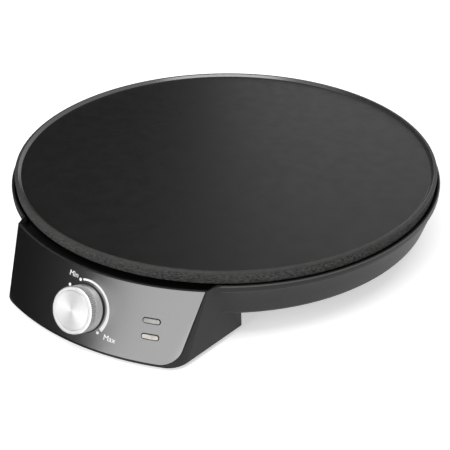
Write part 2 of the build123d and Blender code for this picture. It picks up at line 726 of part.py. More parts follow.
with BuildPart() as housing:
    # Outside: the plain bowl and the leaning pod, blended where the pod's sides run into the wall
    with BuildSketch(Plane.XZ):
        with BuildLine():
            Polyline(
                (0, bowl_z),
                (bowl_foot_r, bowl_z),
                (wall_top_r, band_foot_z),
                (wall_top_r, rim_z),
                (0, rim_z),
                close=True,
            )
        make_face()
    revolve(axis=Axis.Z)
    pod_block(seam_z, rim_z)
    meeting = housing.edges().filter_by(
        lambda e: abs(wall_gap(e)) < 0.01 and (e @ 0.5).Y < pod_rear_y and abs((e @ 1).Z - (e @ 0).Z) > 1.0
    )
    fillet(meeting, side_blend_r)
    add(foot_cut.part, mode=Mode.SUBTRACT)
    with BuildSketch(Plane.YZ):
        with Locations((pod_rear_y - heel_r, seam_z + heel_r)):
            Rectangle(heel_r + over, heel_r + over, align=(Align.MIN, Align.MAX))
            Circle(heel_r, mode=Mode.SUBTRACT)
    extrude(amount=2 * side_foot_x, both=True, mode=Mode.SUBTRACT)
    with BuildSketch(Plane.XZ) as band:
        with BuildLine():
            Polyline(
                (rebate_r - over, band_foot_z),
                (wall_top_r, band_foot_z),
                (rim_r, band_foot_z + band_step),
                (rim_r, rim_z),
                (rebate_r - over, rim_z),
                close=True,
            )
        make_face()
        chamfer(band.vertices().group_by(Axis.Y)[-1].sort_by(Axis.X)[-1], rim_chamfer)
    revolve(axis=Axis.Z)
    for side in (-1, 1):
        with Locations((side * leg_x, leg_y, pod_z)):
            Cone(leg_foot_r, leg_top_r, bowl_z - pod_z + root, align=(Align.CENTER, Align.CENTER, Align.MIN))
    # Inside: bowl, the step the plate's wall hangs in, and the pod
    with BuildSketch(Plane.XZ) as hollow:
        with BuildLine():
            Polyline(
                (0, floor_in_z),
                (bowl_foot_r + (floor_in_z - bowl_z) * wall_slope - wall_run, floor_in_z),
                (bowl_foot_r + (rim_z - rebate_h - bowl_z) * wall_slope - wall_run, rim_z - rebate_h),
                (rebate_r, rim_z - rebate_h),
                (rebate_r, rim_z + over),
                (0, rim_z + over),
                close=True,
            )
        make_face()
        chamfer(hollow.vertices().group_by(Axis.Y)[0].sort_by(Axis.X)[-1], bowl_round - wall)
    revolve(axis=Axis.Z, mode=Mode.SUBTRACT)
    pod_block(seam_z, rim_z + over, inner_depth, wall, pod_rear_y - wall, mode=Mode.SUBTRACT)
    pod_block(
        rim_z - top_lip_h, rim_z + over, fascia_depth, top_lip_t, pod_rear_y - wall, mode=Mode.SUBTRACT
    )
    add(shelf.part)
    for side in (-1, 1):
        with Locations((side * leg_x, leg_y, pod_z + leg_sole_t)):
            Cone(
                leg_foot_r - wall,
                leg_top_r - wall,
                floor_in_z - pod_z - leg_sole_t,
                align=(Align.CENTER, Align.CENTER, Align.MIN),
                mode=Mode.SUBTRACT,
            )
    # Screw towers for the plate, columns for the cover
    with BuildSketch(Plane.XY.offset(bowl_z)):
        with PolarLocations(plate_screw_ring_r, plate_screw_count, start_angle=90):
            Circle(tower_r)
    extrude(amount=tower_z - bowl_z)
    with BuildSketch(Plane.XY.offset(bowl_z)):
        with PolarLocations(plate_screw_ring_r, plate_screw_count, start_angle=90):
            Circle(screw_head_r + screw_head_play)
    extrude(amount=screw_seat_z - bowl_z, mode=Mode.SUBTRACT)
    with BuildSketch(Plane.XY.offset(bowl_z)):
        with PolarLocations(plate_screw_ring_r, plate_screw_count, start_angle=90):
            Circle(screw_hole_r)
    extrude(amount=tower_z - bowl_z, mode=Mode.SUBTRACT)
    add(columns.part)
    with BuildSketch(Plane.XY.offset(cover_top_z)):
        with Locations(*cover_screw_at):
            Circle(small_screw_r + fit)
    extrude(amount=cover_screw_reach, mode=Mode.SUBTRACT)
    # Flat seats behind the fascia, then the pocket and the openings in the front
    bar(dial, thermo_seat_r, -thermo_front, -fascia_depth - wall / 2)
    for ear in holder_ears:
        bar(ear, ear_r, -holder_front, -fascia_depth - wall / 2)
        hole_end = ear_screw_depth + screw_end_gap - holder_front
        bar(ear, small_screw_r + fit, -holder_front, hole_end, mode=Mode.SUBTRACT)
    add(fascia_pocket.part, mode=Mode.SUBTRACT)
    bar(dial, bush_r + play, -thermo_front - over, 0, mode=Mode.SUBTRACT)
    for lamp in lamp_planes:
        pill(lamp, lamp_len + 2 * lamp_gap, lamp_h + 2 * lamp_gap, -thermo_front, 0, mode=Mode.SUBTRACT)
    # Vents, pad recesses and the mains entry
    with BuildSketch(Plane.XY.offset(bowl_z)):
        with PolarLocations(vent_r, vent_count):
            SlotOverall(vent_len, vent_w)
    extrude(amount=floor_t, mode=Mode.SUBTRACT)
    with BuildSketch(Plane.XY.offset(pod_z)):
        with Locations((leg_x, leg_y), (-leg_x, leg_y)):
            Circle(pad_r + fit)
    extrude(amount=pad_recess, mode=Mode.SUBTRACT)
    bar(gland_line, gland_neck_r + fit, -wall - over, over, mode=Mode.SUBTRACT)
housing.part.label = "housing"
export_step(housing.part, "parts/housing.step")

# ---------------------------------------------------------------- front panel and what shines through it
with BuildPart() as fascia_panel:
    fascia_skin(fascia_t)
    bar(dial, bush_r + play, -window_reach, window_reach, mode=Mode.SUBTRACT)
    for lamp in lamp_planes:
        pill(lamp, lamp_len + 2 * lamp_gap, lamp_h + 2 * lamp_gap, -thermo_front, over, mode=Mode.SUBTRACT)
fascia_panel.part.label = "fascia_panel"
export_step(fascia_panel.part, "parts/fascia_panel.step")

with BuildPart() as dial_ring:
    pod_block(seam_z, rim_z, -ring_t - glue_gap)
    pod_block(seam_z - over, rim_z + over, -glue_gap, -wall, mode=Mode.SUBTRACT)
    bar(dial, ring_outer_r, -window_reach, window_reach, mode=Mode.INTERSECT)
    bar(dial, ring_inner_r, -window_reach, window_reach, mode=Mode.SUBTRACT)
dial_ring.part.label = "dial_ring"
export_step(dial_ring.part, "parts/dial_ring.step")


def lens(builder, plane):
    """Clear lens: a rounded bar through the wall, with a flange that the lamp holder keeps in."""
    pill(plane, lamp_len, lamp_h, -lens_seat, lamp_proud)
    chamfer(builder.edges().group_by(Axis(plane.origin, plane.z_dir))[-1], lamp_chamfer)
    pill(plane, lamp_len + 2 * lamp_flange, lamp_h + 2 * lamp_flange, -lens_back, -lens_seat)


def neon(builder, plane):
    """Small glass lamp lying along its lens, with two lead wires that run back."""
    across = Plane(plane.offset(neon_depth).origin, z_dir=plane.x_dir)
    bar(across, neon_r, -neon_len / 2, neon_len / 2)
    chamfer(builder.edges().filter_by(GeomType.CIRCLE), neon_chamfer)
    for side in (-1, 1):
        lead = Plane(plane.origin + plane.x_dir * side * neon_lead_x, plane.x_dir, plane.z_dir)
        bar(lead, neon_lead_r, -neon_lead_end, neon_depth)


with BuildPart() as power_lamp_lens:
    lens(power_lamp_lens, lamp_planes[1])
power_lamp_lens.part.label = "power_lamp_lens"
export_step(power_lamp_lens.part, "parts/power_lamp_lens.step")

with BuildPart() as ready_lamp_lens:
    lens(ready_lamp_lens, lamp_planes[0])
ready_lamp_lens.part.label = "ready_lamp_lens"
export_step(ready_lamp_lens.part, "parts/ready_lamp_lens.step")

with BuildPart() as power_neon:
    neon(power_neon, lamp_planes[1])
power_neon.part.label = "power_neon"
export_step(power_neon.part, "parts/power_neon.step")

with BuildPart() as ready_neon:
    neon(ready_neon, lamp_planes[0])
ready_neon.part.label = "ready_neon"
export_step(ready_neon.part, "parts/ready_neon.step")

with BuildPart() as lamp_holder:
    with BuildSketch(holder_plane.offset(-holder_front - holder_t)):
        RectangleRounded(holder_w, holder_h, holder_round)
    extrude(amount=holder_t)
    with BuildSketch(holder_plane.offset(-holder_front - ear_t)):
        SlotCenterToCenter(2 * ear_x, 2 * ear_r)
    extrude(amount=ear_t)
    for ear in holder_ears:
        bar(ear, small_screw_r + fit, -holder_front - ear_t, -holder_front, mode=Mode.SUBTRACT)
    for lamp in lamp_planes:
        pill(lamp, neon_len + 2 * neon_play, 2 * (neon_r + neon_play), -neon_floor, 0, mode=Mode.SUBTRACT)
        for side in (-1, 1):
            lead = Plane(lamp.origin + lamp.x_dir * side * neon_lead_x, lamp.x_dir, lamp.z_dir)
            bar(lead, neon_lead_r + fit, -holder_front - holder_t - over, -neon_floor, mode=Mode.SUBTRACT)
lamp_holder.part.label = "lamp_holder"
export_step(lamp_holder.part, "parts/lamp_holder.step")

with BuildPart() as holder_screws:
    for ear in holder_ears:
        bar(ear, small_head_r, -holder_front - ear_t - small_head_h, -holder_front - ear_t)
        bar(ear, small_screw_r, -holder_front - ear_t, -holder_front + ear_screw_depth)
holder_screws.part.label = "holder_screws"
export_step(holder_screws.part, "parts/holder_screws.step")

# ---------------------------------------------------------------- thermostat
port = Plane(
    dial.origin + dial.x_dir * thermo_w / 2 - dial.z_dir * (thermo_front + thermo_t / 2), z_dir=dial.x_dir
)

with BuildPart() as thermostat_body:
    with BuildSketch(dial.offset(-thermo_back)):
        RectangleRounded(thermo_w, thermo_h, thermo_round)
    extrude(amount=thermo_t)
    chamfer(thermostat_body.edges().group_by(dial_axis)[0], thermo_chamfer)
    bar(dial, bush_r, -thermo_front - root, bush_top_h)
    chamfer(thermostat_body.edges().group_by(dial_axis)[-1], bush_chamfer)
    bar(dial, shaft_r + fit, -shaft_foot - fit, bush_top_h, mode=Mode.SUBTRACT)
    bar(port, 2 * tube_r, -root, port_len)
    bar(port, tube_r + fit, port_len - tube_socket, port_len, mode=Mode.SUBTRACT)
    for side in (-1, 1):
        with BuildSketch(Plane(dial.offset(-thermo_back + root).origin, dial.x_dir, -dial.z_dir)):
            with Locations((side * thermo_tab_x, 0)):
                Rectangle(tab_w, tab_t)
        extrude(amount=tab_len + root)
thermostat_body.part.label = "thermostat_body"
export_step(thermostat_body.part, "parts/thermostat_body.step")

with BuildPart() as nut_washer:
    bar(dial, washer_r, fit, fit + washer_t)
    bar(dial, bush_r + play, 0, over, mode=Mode.SUBTRACT)
nut_washer.part.label = "nut_washer"
export_step(nut_washer.part, "parts/nut_washer.step")

with BuildPart() as thermostat_nut:
    with BuildSketch(dial.offset(fit + washer_t)):
        RegularPolygon(nut_flat / 2, 6, major_radius=False)
    extrude(amount=nut_t)
    with BuildSketch(dial_side) as nut_round:
        with BuildLine():
            Polyline(
                (0, fit + washer_t),
                (nut_flat / 2 + nut_t, fit + washer_t),
                (nut_flat / 2, fit + washer_t + nut_t),
                (0, fit + washer_t + nut_t),
                close=True,
            )
        make_face()
    revolve(axis=dial_axis, mode=Mode.INTERSECT)
    bar(dial, bush_r + fit, 0, knob_face_h, mode=Mode.SUBTRACT)
thermostat_nut.part.label = "thermostat_nut"
export_step(thermostat_nut.part, "parts/thermostat_nut.step")

with BuildPart() as thermostat_shaft:
    bar(dial, shaft_r, -shaft_foot, shaft_top_h)
    chamfer(thermostat_shaft.edges().group_by(dial_axis)[-1], shaft_chamfer)
    with BuildSketch(dial.offset(shaft_flat_foot)):
        with Locations((0, shaft_flat)):
            Rectangle(2 * shaft_r, shaft_r, align=(Align.CENTER, Align.MIN))
    extrude(amount=shaft_top_h - shaft_flat_foot, mode=Mode.SUBTRACT)
thermostat_shaft.part.label = "thermostat_shaft"
export_step(thermostat_shaft.part, "parts/thermostat_shaft.step")

bulb_tail = (bulb_x, bulb_end_y, bulb_z)
port_mouth = port.offset(port_len - tube_socket + fit).origin
with BuildPart() as capillary_tube:
    with BuildLine() as tube_path:
        FilletPolyline(
            port_mouth,
            (tube_x, port_mouth.Y, port_mouth.Z),
            (tube_x, tube_rise_y, tube_mid_z),
            (tube_x, tube_bowl_y, tube_bowl_z),
            (bulb_x, tube_turn_y, tube_bowl_z),
            (bulb_x, bulb_end_y - tube_end_run, bulb_z),
            bulb_tail,
            radius=tube_bend_r,
        )
    with BuildSketch(Plane(port_mouth, z_dir=dial.x_dir)):
        Circle(tube_r)
    sweep()
capillary_tube.part.label = "capillary_tube"
export_step(capillary_tube.part, "parts/capillary_tube.step")

# ---------------------------------------------------------------- knob
knob_taper = atan((knob_foot_r - knob_face_r) / (knob_face_h - knob_foot_h))
cap_seat_h = knob_face_h - cap_t - fit
roof_low_h = cap_seat_h - knob_roof


def knob_radius(h):
    """Radius of the knob's outside at height h."""
    return knob_foot_r - (h - knob_foot_h) * tan(knob_taper)


with BuildPart() as knob_body:
    with BuildSketch(dial_side):
        with BuildLine():
            Polyline(
                (0, roof_low_h),
                (knob_radius(roof_low_h) - knob_wall, roof_low_h),
                (knob_foot_r - knob_wall, knob_foot_h),
                (knob_foot_r, knob_foot_h),
                (knob_radius(knob_face_h - knob_bevel), knob_face_h - knob_bevel),
                (knob_face_r - knob_bevel, knob_face_h),
                (cap_r + fit, knob_face_h),
                (cap_r + fit, cap_seat_h),
                (0, cap_seat_h),
                close=True,
            )
        make_face()
    revolve(axis=dial_axis)
    bar(dial, hub_r, hub_foot_h, roof_low_h + root)
    with BuildSketch(dial.offset(knob_rib_foot_h)):
        with PolarLocations(0, knob_rib_count):
            with Locations((hub_r - root, 0)):
                Rectangle(
                    knob_radius(knob_rib_foot_h) - knob_wall - hub_r + 2 * root,
                    knob_rib_w,
                    align=(Align.MIN, Align.CENTER),
                )
    extrude(amount=roof_low_h + root - knob_rib_foot_h)
    with BuildSketch(dial.offset(hub_foot_h)):
        Circle(shaft_r + fit)
        with Locations((0, shaft_flat + fit)):
            Rectangle(3 * shaft_r, shaft_r, align=(Align.CENTER, Align.MIN), mode=Mode.SUBTRACT)
    extrude(amount=shaft_top_h + play - hub_foot_h, mode=Mode.SUBTRACT)
    flute_middle_h = (flute_foot_h + flute_top_h) / 2
    flutes = [
        dial.location
        * Rot(0, 0, number * 360 / flute_count)
        * Pos(knob_radius(flute_middle_h), 0, flute_middle_h)
        * Rot(0, -degrees(knob_taper), 0)
        * Rot(0, 0, 45)
        for number in range(flute_count)
    ]
    flute_side = flute_depth * sqrt(2)
    with Locations(*flutes):
        Box(flute_side, flute_side, flute_top_h - flute_foot_h, mode=Mode.SUBTRACT)
knob_body.part.label = "knob_body"
export_step(knob_body.part, "parts/knob_body.step")

with BuildPart() as knob_cap:
    bar(dial, cap_r, cap_seat_h + fit, knob_face_h)
    chamfer(knob_cap.edges().group_by(dial_axis)[-1], cap_chamfer)
knob_cap.part.label = "knob_cap"
export_step(knob_cap.part, "parts/knob_cap.step")

with BuildPart() as hub_spring_ring:
    bar(dial, hub_r + fit + spring_ring_t, spring_ring_foot_h, spring_ring_foot_h + spring_ring_w)
    bar(dial, hub_r + fit, 0, knob_face_h, mode=Mode.SUBTRACT)
    with BuildSketch(dial.offset(spring_ring_foot_h)):
        with Locations((0, -hub_r)):
            Rectangle(spring_ring_w, 2 * hub_r, align=(Align.CENTER, Align.MAX))
    extrude(amount=spring_ring_w, mode=Mode.SUBTRACT)
hub_spring_ring.part.label = "hub_spring_ring"
export_step(hub_spring_ring.part, "parts/hub_spring_ring.step")

# ---------------------------------------------------------------- bottom cover, mains entry and feet
with BuildPart() as pod_bottom_cover:
    pod_block(pod_z, seam_z, cover_inset, cover_inset, pod_rear_y - heel_r - play)
    pod_block(
        seam_z - root,
        cover_top_z,
        inner_depth + cover_plug_gap,
        wall + cover_plug_gap,
        pod_rear_y - wall - cover_plug_gap,
    )
    with BuildSketch(Plane.XY.offset(pod_z)):
        with Locations(*pad_at):
            Circle(pad_r + fit)
    extrude(amount=pad_recess, mode=Mode.SUBTRACT)
    with BuildSketch(Plane.XY.offset(pod_z)):
        with Locations(*cover_screw_at):
            Circle(small_head_r + play)
    extrude(amount=cover_screw_seat_z - pod_z, mode=Mode.SUBTRACT)
    with BuildSketch(Plane.XY.offset(pod_z)):
        with Locations(*cover_screw_at):
            Circle(small_screw_r + play)
    extrude(amount=cover_top_z - pod_z, mode=Mode.SUBTRACT)
    with BuildSketch(Plane.XY.offset(cover_top_z)):
        with Locations(block_at):
            Circle(small_screw_r + fit)
    extrude(amount=-block_screw_depth, mode=Mode.SUBTRACT)
pod_bottom_cover.part.label = "pod_bottom_cover"
export_step(pod_bottom_cover.part, "parts/pod_bottom_cover.step")

with BuildPart() as cover_screws:
    with BuildSketch(Plane.XY.offset(cover_screw_seat_z - small_head_h)):
        with Locations(*cover_screw_at):
            Circle(small_head_r)
    extrude(amount=small_head_h)
    with BuildSketch(Plane.XY.offset(cover_screw_seat_z)):
        with Locations(*cover_screw_at):
            Circle(small_screw_r)
    extrude(amount=cover_top_z + cover_screw_reach - screw_end_gap - cover_screw_seat_z)
cover_screws.part.label = "cover_screws"
export_step(cover_screws.part, "parts/cover_screws.step")

with BuildPart() as front_foot_pads:
    with BuildSketch():
        with Locations(*pad_at):
            Circle(pad_r)
    extrude(amount=pod_z + pad_recess)
    chamfer(front_foot_pads.edges().group_by(Axis.Z)[0], pad_chamfer)
front_foot_pads.part.label = "front_foot_pads"
export_step(front_foot_pads.part, "parts/front_foot_pads.step")

with BuildPart() as rear_foot_pads:
    with BuildSketch():
        with Locations((-leg_x, leg_y), (leg_x, leg_y)):
            Circle(pad_r)
    extrude(amount=pod_z + pad_recess)
    chamfer(rear_foot_pads.edges().group_by(Axis.Z)[0], pad_chamfer)
rear_foot_pads.part.label = "rear_foot_pads"
export_step(rear_foot_pads.part, "parts/rear_foot_pads.step")

with BuildPart() as terminal_block:
    with BuildSketch(Plane.XY.offset(cover_top_z)):
        with Locations(block_at):
            RectangleRounded(block_w, block_d, block_round)
    extrude(amount=block_h)
    chamfer(terminal_block.edges().group_by(Axis.Z)[-1], block_chamfer)
    with BuildSketch(Plane.XZ.offset(-block_at[1] - block_d / 2)):
        with Locations(*((block_at[0] + pole * block_pitch, wire_hole_z) for pole in (-1, 1))):
            Circle(wire_hole_r)
    extrude(amount=block_d, mode=Mode.SUBTRACT)
    with BuildSketch(Plane.XY.offset(wire_hole_z)):
        with Locations(*(
            (block_at[0] + pole * block_pitch, block_at[1] + side * block_well_y)
            for pole in (-1, 1)
            for side in (-1, 1)
        )):
            Circle(block_well_r)
    extrude(amount=block_h, mode=Mode.SUBTRACT)
    with BuildSketch(Plane.XY.offset(cover_top_z)):
        with Locations(block_at):
            Circle(small_screw_r + fit)
    extrude(amount=block_h, mode=Mode.SUBTRACT)
    with BuildSketch(Plane.XY.offset(cover_top_z + block_seat_h)):
        with Locations(block_at):
            Circle(small_head_r + play)
    extrude(amount=block_h, mode=Mode.SUBTRACT)
terminal_block.part.label = "terminal_block"
export_step(terminal_block.part, "parts/terminal_block.step")

with BuildPart() as block_screw:
    with BuildSketch(Plane.XY.offset(cover_top_z + block_seat_h)):
        with Locations(block_at):
            Circle(small_head_r)
    extrude(amount=small_head_h)
    with BuildSketch(Plane.XY.offset(cover_top_z - block_screw_depth + screw_end_gap)):
        with Locations(block_at):
            Circle(small_screw_r)
    extrude(amount=block_seat_h + block_screw_depth - screw_end_gap)
block_screw.part.label = "block_screw"
export_step(block_screw.part, "parts/block_screw.step")

with BuildPart() as cord_gland:
    bar(gland_line, gland_neck_r, -wall - fit, fit)
    bar(gland_line, gland_flange_r, -wall - fit - gland_flange_t, -wall - fit)
    bar(gland_line, gland_flange_r, fit, fit + gland_flange_t)
    bar(gland_line, gland_neck_r, fit, gland_proud)
    chamfer(cord_gland.edges().group_by(Axis.Y)[-1], gland_chamfer)
    bar(gland_line, gland_bore_r, -wall - fit - gland_flange_t, gland_proud, mode=Mode.SUBTRACT)
cord_gland.part.label = "cord_gland"
export_step(cord_gland.part, "parts/cord_gland.step")
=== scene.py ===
"""Visible surfaces of an electric crepe maker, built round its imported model, and the studio it stands in.

Metres. The origin is on the plate's axis on the table, +Z is up and -Y is the front, where the knob is.
"""

import json
from math import asin, cos, hypot, pi, radians, sin, tan

import bmesh
import bpy
import numpy as np
from bpy.props import FloatProperty, FloatVectorProperty, IntProperty, PointerProperty
from bpy.types import Operator, Panel, PropertyGroup
from mathutils import Matrix, Vector

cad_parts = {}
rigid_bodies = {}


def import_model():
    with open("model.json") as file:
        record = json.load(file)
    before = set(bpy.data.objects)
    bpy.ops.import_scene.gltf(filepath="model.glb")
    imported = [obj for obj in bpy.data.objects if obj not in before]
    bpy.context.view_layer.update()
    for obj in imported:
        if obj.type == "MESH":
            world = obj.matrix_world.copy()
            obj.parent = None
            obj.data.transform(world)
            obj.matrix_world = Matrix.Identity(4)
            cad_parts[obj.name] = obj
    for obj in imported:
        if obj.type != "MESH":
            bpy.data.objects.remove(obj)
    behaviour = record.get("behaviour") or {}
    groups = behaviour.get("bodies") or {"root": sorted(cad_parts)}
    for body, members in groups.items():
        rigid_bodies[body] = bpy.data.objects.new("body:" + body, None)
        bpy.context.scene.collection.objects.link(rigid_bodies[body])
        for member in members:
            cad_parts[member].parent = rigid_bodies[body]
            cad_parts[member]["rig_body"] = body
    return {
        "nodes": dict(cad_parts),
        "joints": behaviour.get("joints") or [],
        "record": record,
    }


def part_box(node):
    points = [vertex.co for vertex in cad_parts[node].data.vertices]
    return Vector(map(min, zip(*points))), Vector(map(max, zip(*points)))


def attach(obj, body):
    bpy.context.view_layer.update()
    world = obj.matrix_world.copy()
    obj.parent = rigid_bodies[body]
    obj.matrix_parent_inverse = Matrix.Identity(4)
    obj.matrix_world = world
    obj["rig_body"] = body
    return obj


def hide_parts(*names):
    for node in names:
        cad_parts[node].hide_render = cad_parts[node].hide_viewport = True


bl_info = {
    "name": "Crepe Maker",
    "version": (1, 0, 0),
    "blender": (4, 5, 0),
    "location": "3D Viewport > Sidebar > Crepe Maker",
    "description": "Finishes an electric crepe maker round its packed model",
    "category": "Add Mesh",
}

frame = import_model()
MM = 0.001


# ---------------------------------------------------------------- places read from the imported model
def rows_of(elements, vector):
    """One vector of each vertex or face, such as its place, centre or normal, one row each."""
    values = np.empty(len(elements) * 3)
    elements.foreach_get(vector, values)
    return values.reshape(-1, 3)


def node_points(node):
    """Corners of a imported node's mesh, one row each."""
    return rows_of(frame["nodes"][node].data.vertices, "co")


def mount_place(name):
    """Where the record puts one of its mounts."""
    return next(Vector(mount["pos_m"]) for mount in frame["record"]["mounts"] if mount["name"] == name)


DIAL_JOINT = next(joint for joint in frame["joints"] if joint["name"] == "dial_turn")
DIAL_ORIGIN = np.array(DIAL_JOINT["pos_m"], float)  # on the fascia's outside
DIAL_OUT = -np.array(DIAL_JOINT["axis"], float)
DIAL_RIGHT = np.array((1.0, 0.0, 0.0))
DIAL_UP = np.cross(DIAL_OUT, DIAL_RIGHT)  # up the fascia's slope
LEAN = asin(DIAL_OUT[2])
FASCIA_RADIUS = hypot(DIAL_ORIGIN[0], DIAL_ORIGIN[1])  # the leaning cone's radius at the dial's height

PLATE_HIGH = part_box("griddle_plate")[1]
PLATE_RADIUS = PLATE_HIGH.x
LIP_TOP = PLATE_HIGH.z
RIM_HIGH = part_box("housing")[1]
RIM_RADIUS = RIM_HIGH.x
RIM_TOP = RIM_HIGH.z
COOKING_HEIGHT = mount_place("cooking_surface").z


def in_dial(points):
    """Distance from the knob's axis and height along it, for points in the row frame."""
    away = points - DIAL_ORIGIN
    height = away @ DIAL_OUT
    return np.linalg.norm(away - height[:, None] * DIAL_OUT, axis=1), height


def on_fascia(across, up, out):
    """Point over the fascia's outside, from distances across and up the slope at the knob's centre.

    The flat point origin + across*right + up*slope is moved along the knob's axis by the root of
    x^2 + y^2 = (R + (z0 - z) tan lean)^2, the leaning cone, and then by out along the cone's normal.
    """
    across, up, out = np.broadcast_arrays(across, up, out)
    flat = DIAL_ORIGIN + across[..., None] * DIAL_RIGHT + up[..., None] * DIAL_UP
    slope = tan(LEAN)
    reach = FASCIA_RADIUS + (DIAL_ORIGIN[2] - flat[..., 2]) * slope
    a = DIAL_OUT[0] ** 2 + DIAL_OUT[1] ** 2 - (slope * DIAL_OUT[2]) ** 2
    b = flat[..., 0] * DIAL_OUT[0] + flat[..., 1] * DIAL_OUT[1] + slope * reach * DIAL_OUT[2]
    c = flat[..., 0] ** 2 + flat[..., 1] ** 2 - reach**2
    points = flat - (c / (b + np.sqrt(b * b - a * c)))[..., None] * DIAL_OUT
    level, upright = np.array((cos(LEAN), cos(LEAN), 0)), np.array((0, 0, sin(LEAN)))
    normal = points / np.hypot(points[..., 0], points[..., 1])[..., None] * level + upright
    return points + out[..., None] * normal


# ---------------------------------------------------------------- sizes and colours a user would change
def length_property(name, description, default):
    """Property for a length in metres."""
    return FloatProperty(name=name, description=description, default=default, unit="LENGTH")


def angle_property(name, description, degrees):
    """Property for an angle, with its default in degrees."""
    return FloatProperty(name=name, description=description, default=radians(degrees), unit="ROTATION")


def colour_property(name, description, default):
    """Property for a colour."""
    return FloatVectorProperty(name=name, description=description, default=default, subtype="COLOR")


class PlateSizes(PropertyGroup):
    """Shape of the griddle plate's lip and cast wall."""

    lip_slope_width: length_property("Lip slope", "Width of the slope inside the lip", 1.8 * MM)
    lip_crown_width: length_property("Lip crown", "Width of the lip's flat top", 2.4 * MM)
    foot_height: length_property("Wall foot", "Height of the side wall's lower edge", 42.5 * MM)
    thickness: length_property("Thickness", "Thickness of the plate's floor", 3.2 * MM)
    skirt: length_property("Skirt", "Thickness of the plate's side wall", 3.0 * MM)
    cast_relief: length_property("Cast relief", "Depth of the cast wall's roughness", 0.10 * MM)
    turns: IntProperty(name="Turns", description="Columns of faces round the plate", default=960)


class KnobSizes(PropertyGroup):
    """Shape of the knob's grip."""

    flute_count: IntProperty(name="Flutes", description="Number of grooves round the grip", default=72)
    flute_depth: length_property("Flute depth", "Depth of a groove", 0.6 * MM)
    flute_foot: length_property("Flute foot", "Height where the grooves start", 4.6 * MM)
    flute_top: length_property("Flute top", "Height where the grooves end", 10.7 * MM)
    bevel: length_property("Face bevel", "Bevel round the knob's face", 0.5 * MM)
    wall: length_property("Wall", "Wall of the knob's shell", 1.8 * MM)


class PrintSizes(PropertyGroup):
    """The dial's printed marks, measured from the knob's centre."""

    arc_radius: length_property("Arc radius", "Middle of the printed arc", 16.65 * MM)
    arc_start_width: length_property("Arc start width", "Width of the arc at least heat", 1.2 * MM)
    arc_end_width: length_property("Arc end width", "Width of the arc at most heat", 2.2 * MM)
    arc_start: angle_property("Arc start", "Clockwise from the top of the slope", -15)
    arc_end: angle_property("Arc end", "Clockwise from the top of the slope", 123.5)
    dot_radius: length_property("Dot radius", "Radius of a printed dot", 0.92 * MM)
    off_angle: angle_property("Off dot", "Clockwise from the top of the slope", -52.2)
    least_angle: angle_property("Least heat dot", "Clockwise from the top of the slope", -22)
    most_angle: angle_property("Most heat dot", "Clockwise from the top of the slope", 131.6)
    letter_height: length_property("Letter height", "Height of a capital letter", 3.4 * MM)
    ink: length_property("Ink", "Thickness of the printed ink", 0.02 * MM)


class Finishes(PropertyGroup):
    """Main colours."""

    coating: colour_property("Coating", "Non-stick coating", (0.010, 0.010, 0.0098))
    plastic: colour_property("Plastic", "Moulded housing", (0.024, 0.024, 0.0245))
    fascia: colour_property("Fascia", "Satin metal front", (0.382, 0.382, 0.382))
    aluminium: colour_property("Aluminium", "Knob and cap", (0.93, 0.93, 0.93))
    # The grip's colour is darker than the aluminium: painted shade in its flutes.
    grip: colour_property("Grip", "Side of the knob", (0.62, 0.62, 0.62))
    ready_lens: colour_property("Ready lens", "Upper lens", (0.42, 0.42, 0.41))
    power_lens: colour_property("Power lens", "Lower lens", (0.62, 0.60, 0.55))
    ink: colour_property("Ink", "Printed marks", (0.95, 0.95, 0.95))


class StudioSizes(PropertyGroup):
    """Camera and lamps."""

    camera_azimuth: angle_property("Camera azimuth", "Round from the front", 30.43)
    camera_elevation: angle_property("Camera elevation", "Above the table", 33.16)
    camera_roll: angle_property("Camera roll", "About the line of sight", -0.34)
    camera_distance: length_property("Camera distance", "From its target", 495.87 * MM)
    camera_target: FloatVectorProperty(
        name="Camera target",
        description="Point in the middle of the view",
        default=(28.53 * MM, -50.24 * MM, 22.0 * MM),
        unit="LENGTH",
    )
    camera_lens: FloatProperty(name="Lens", description="Focal length in millimetres", default=58.02)
    flag_place: FloatVectorProperty(
        name="Flag place",
        description="Point on the floor that the black card fans out from",
        default=(18 * MM, -177 * MM, 2 * MM),
        unit="LENGTH",
    )
    flag_back: angle_property("Flag back", "Where the black card starts, from +X", 117)
    flag_front: angle_property("Flag front", "Where the black card ends, from +X", 248)
    flag_reach: length_property("Flag reach", "Distance of its upright part", 1.2)
    flag_height: length_property("Flag height", "Height of its upright part", 1.6)


# ---------------------------------------------------------------- meshes from numbers
def rounded(corners, steps=6):
    """Outline through corners (x, y, radius), each corner with a radius turned into an arc.

    The arc's centre lies on the corner's bisector, and its points are
    centre + (sin((1-k) f) u + sin(k f) w) / sin f, for k from 0 to 1, u and w the two end spokes, f the turn.
    """
    share = np.linspace(0, 1, steps + 1)[:, None]
    places = np.array([corner[:2] for corner in corners], float)
    outline = [places[:1]]
    for before, here, after, corner in zip(places, places[1:], places[2:], corners[1:]):
        radius = corner[2]
        if radius <= 0:
            outline.append(here[None])
            continue
        back = (before - here) / np.linalg.norm(before - here)
        onward = (after - here) / np.linalg.norm(after - here)
        half = np.arccos(np.clip(back @ onward, -1, 1)) / 2
        centre = here + (back + onward) / np.linalg.norm(back + onward) * radius / sin(half)
        first = here + back * radius / tan(half) - centre
        last = here + onward * radius / tan(half) - centre
        turn = pi - 2 * half
        arc = np.sin((1 - share) * turn) * first + np.sin(share * turn) * last
        outline.append(centre + arc / sin(turn))
    outline.append(places[-1:])
    return np.concatenate(outline)


def add_object(name, data):
    """New object in the scene, at the origin."""
    piece = bpy.data.objects.new(name, data)
    bpy.context.scene.collection.objects.link(piece)
    return piece


def add_mesh(name, points, faces):
    """New object with its place in its mesh."""
    mesh = bpy.data.meshes.new(name)
    mesh.from_pydata(points.tolist(), [], faces)
    return add_object(name, mesh)


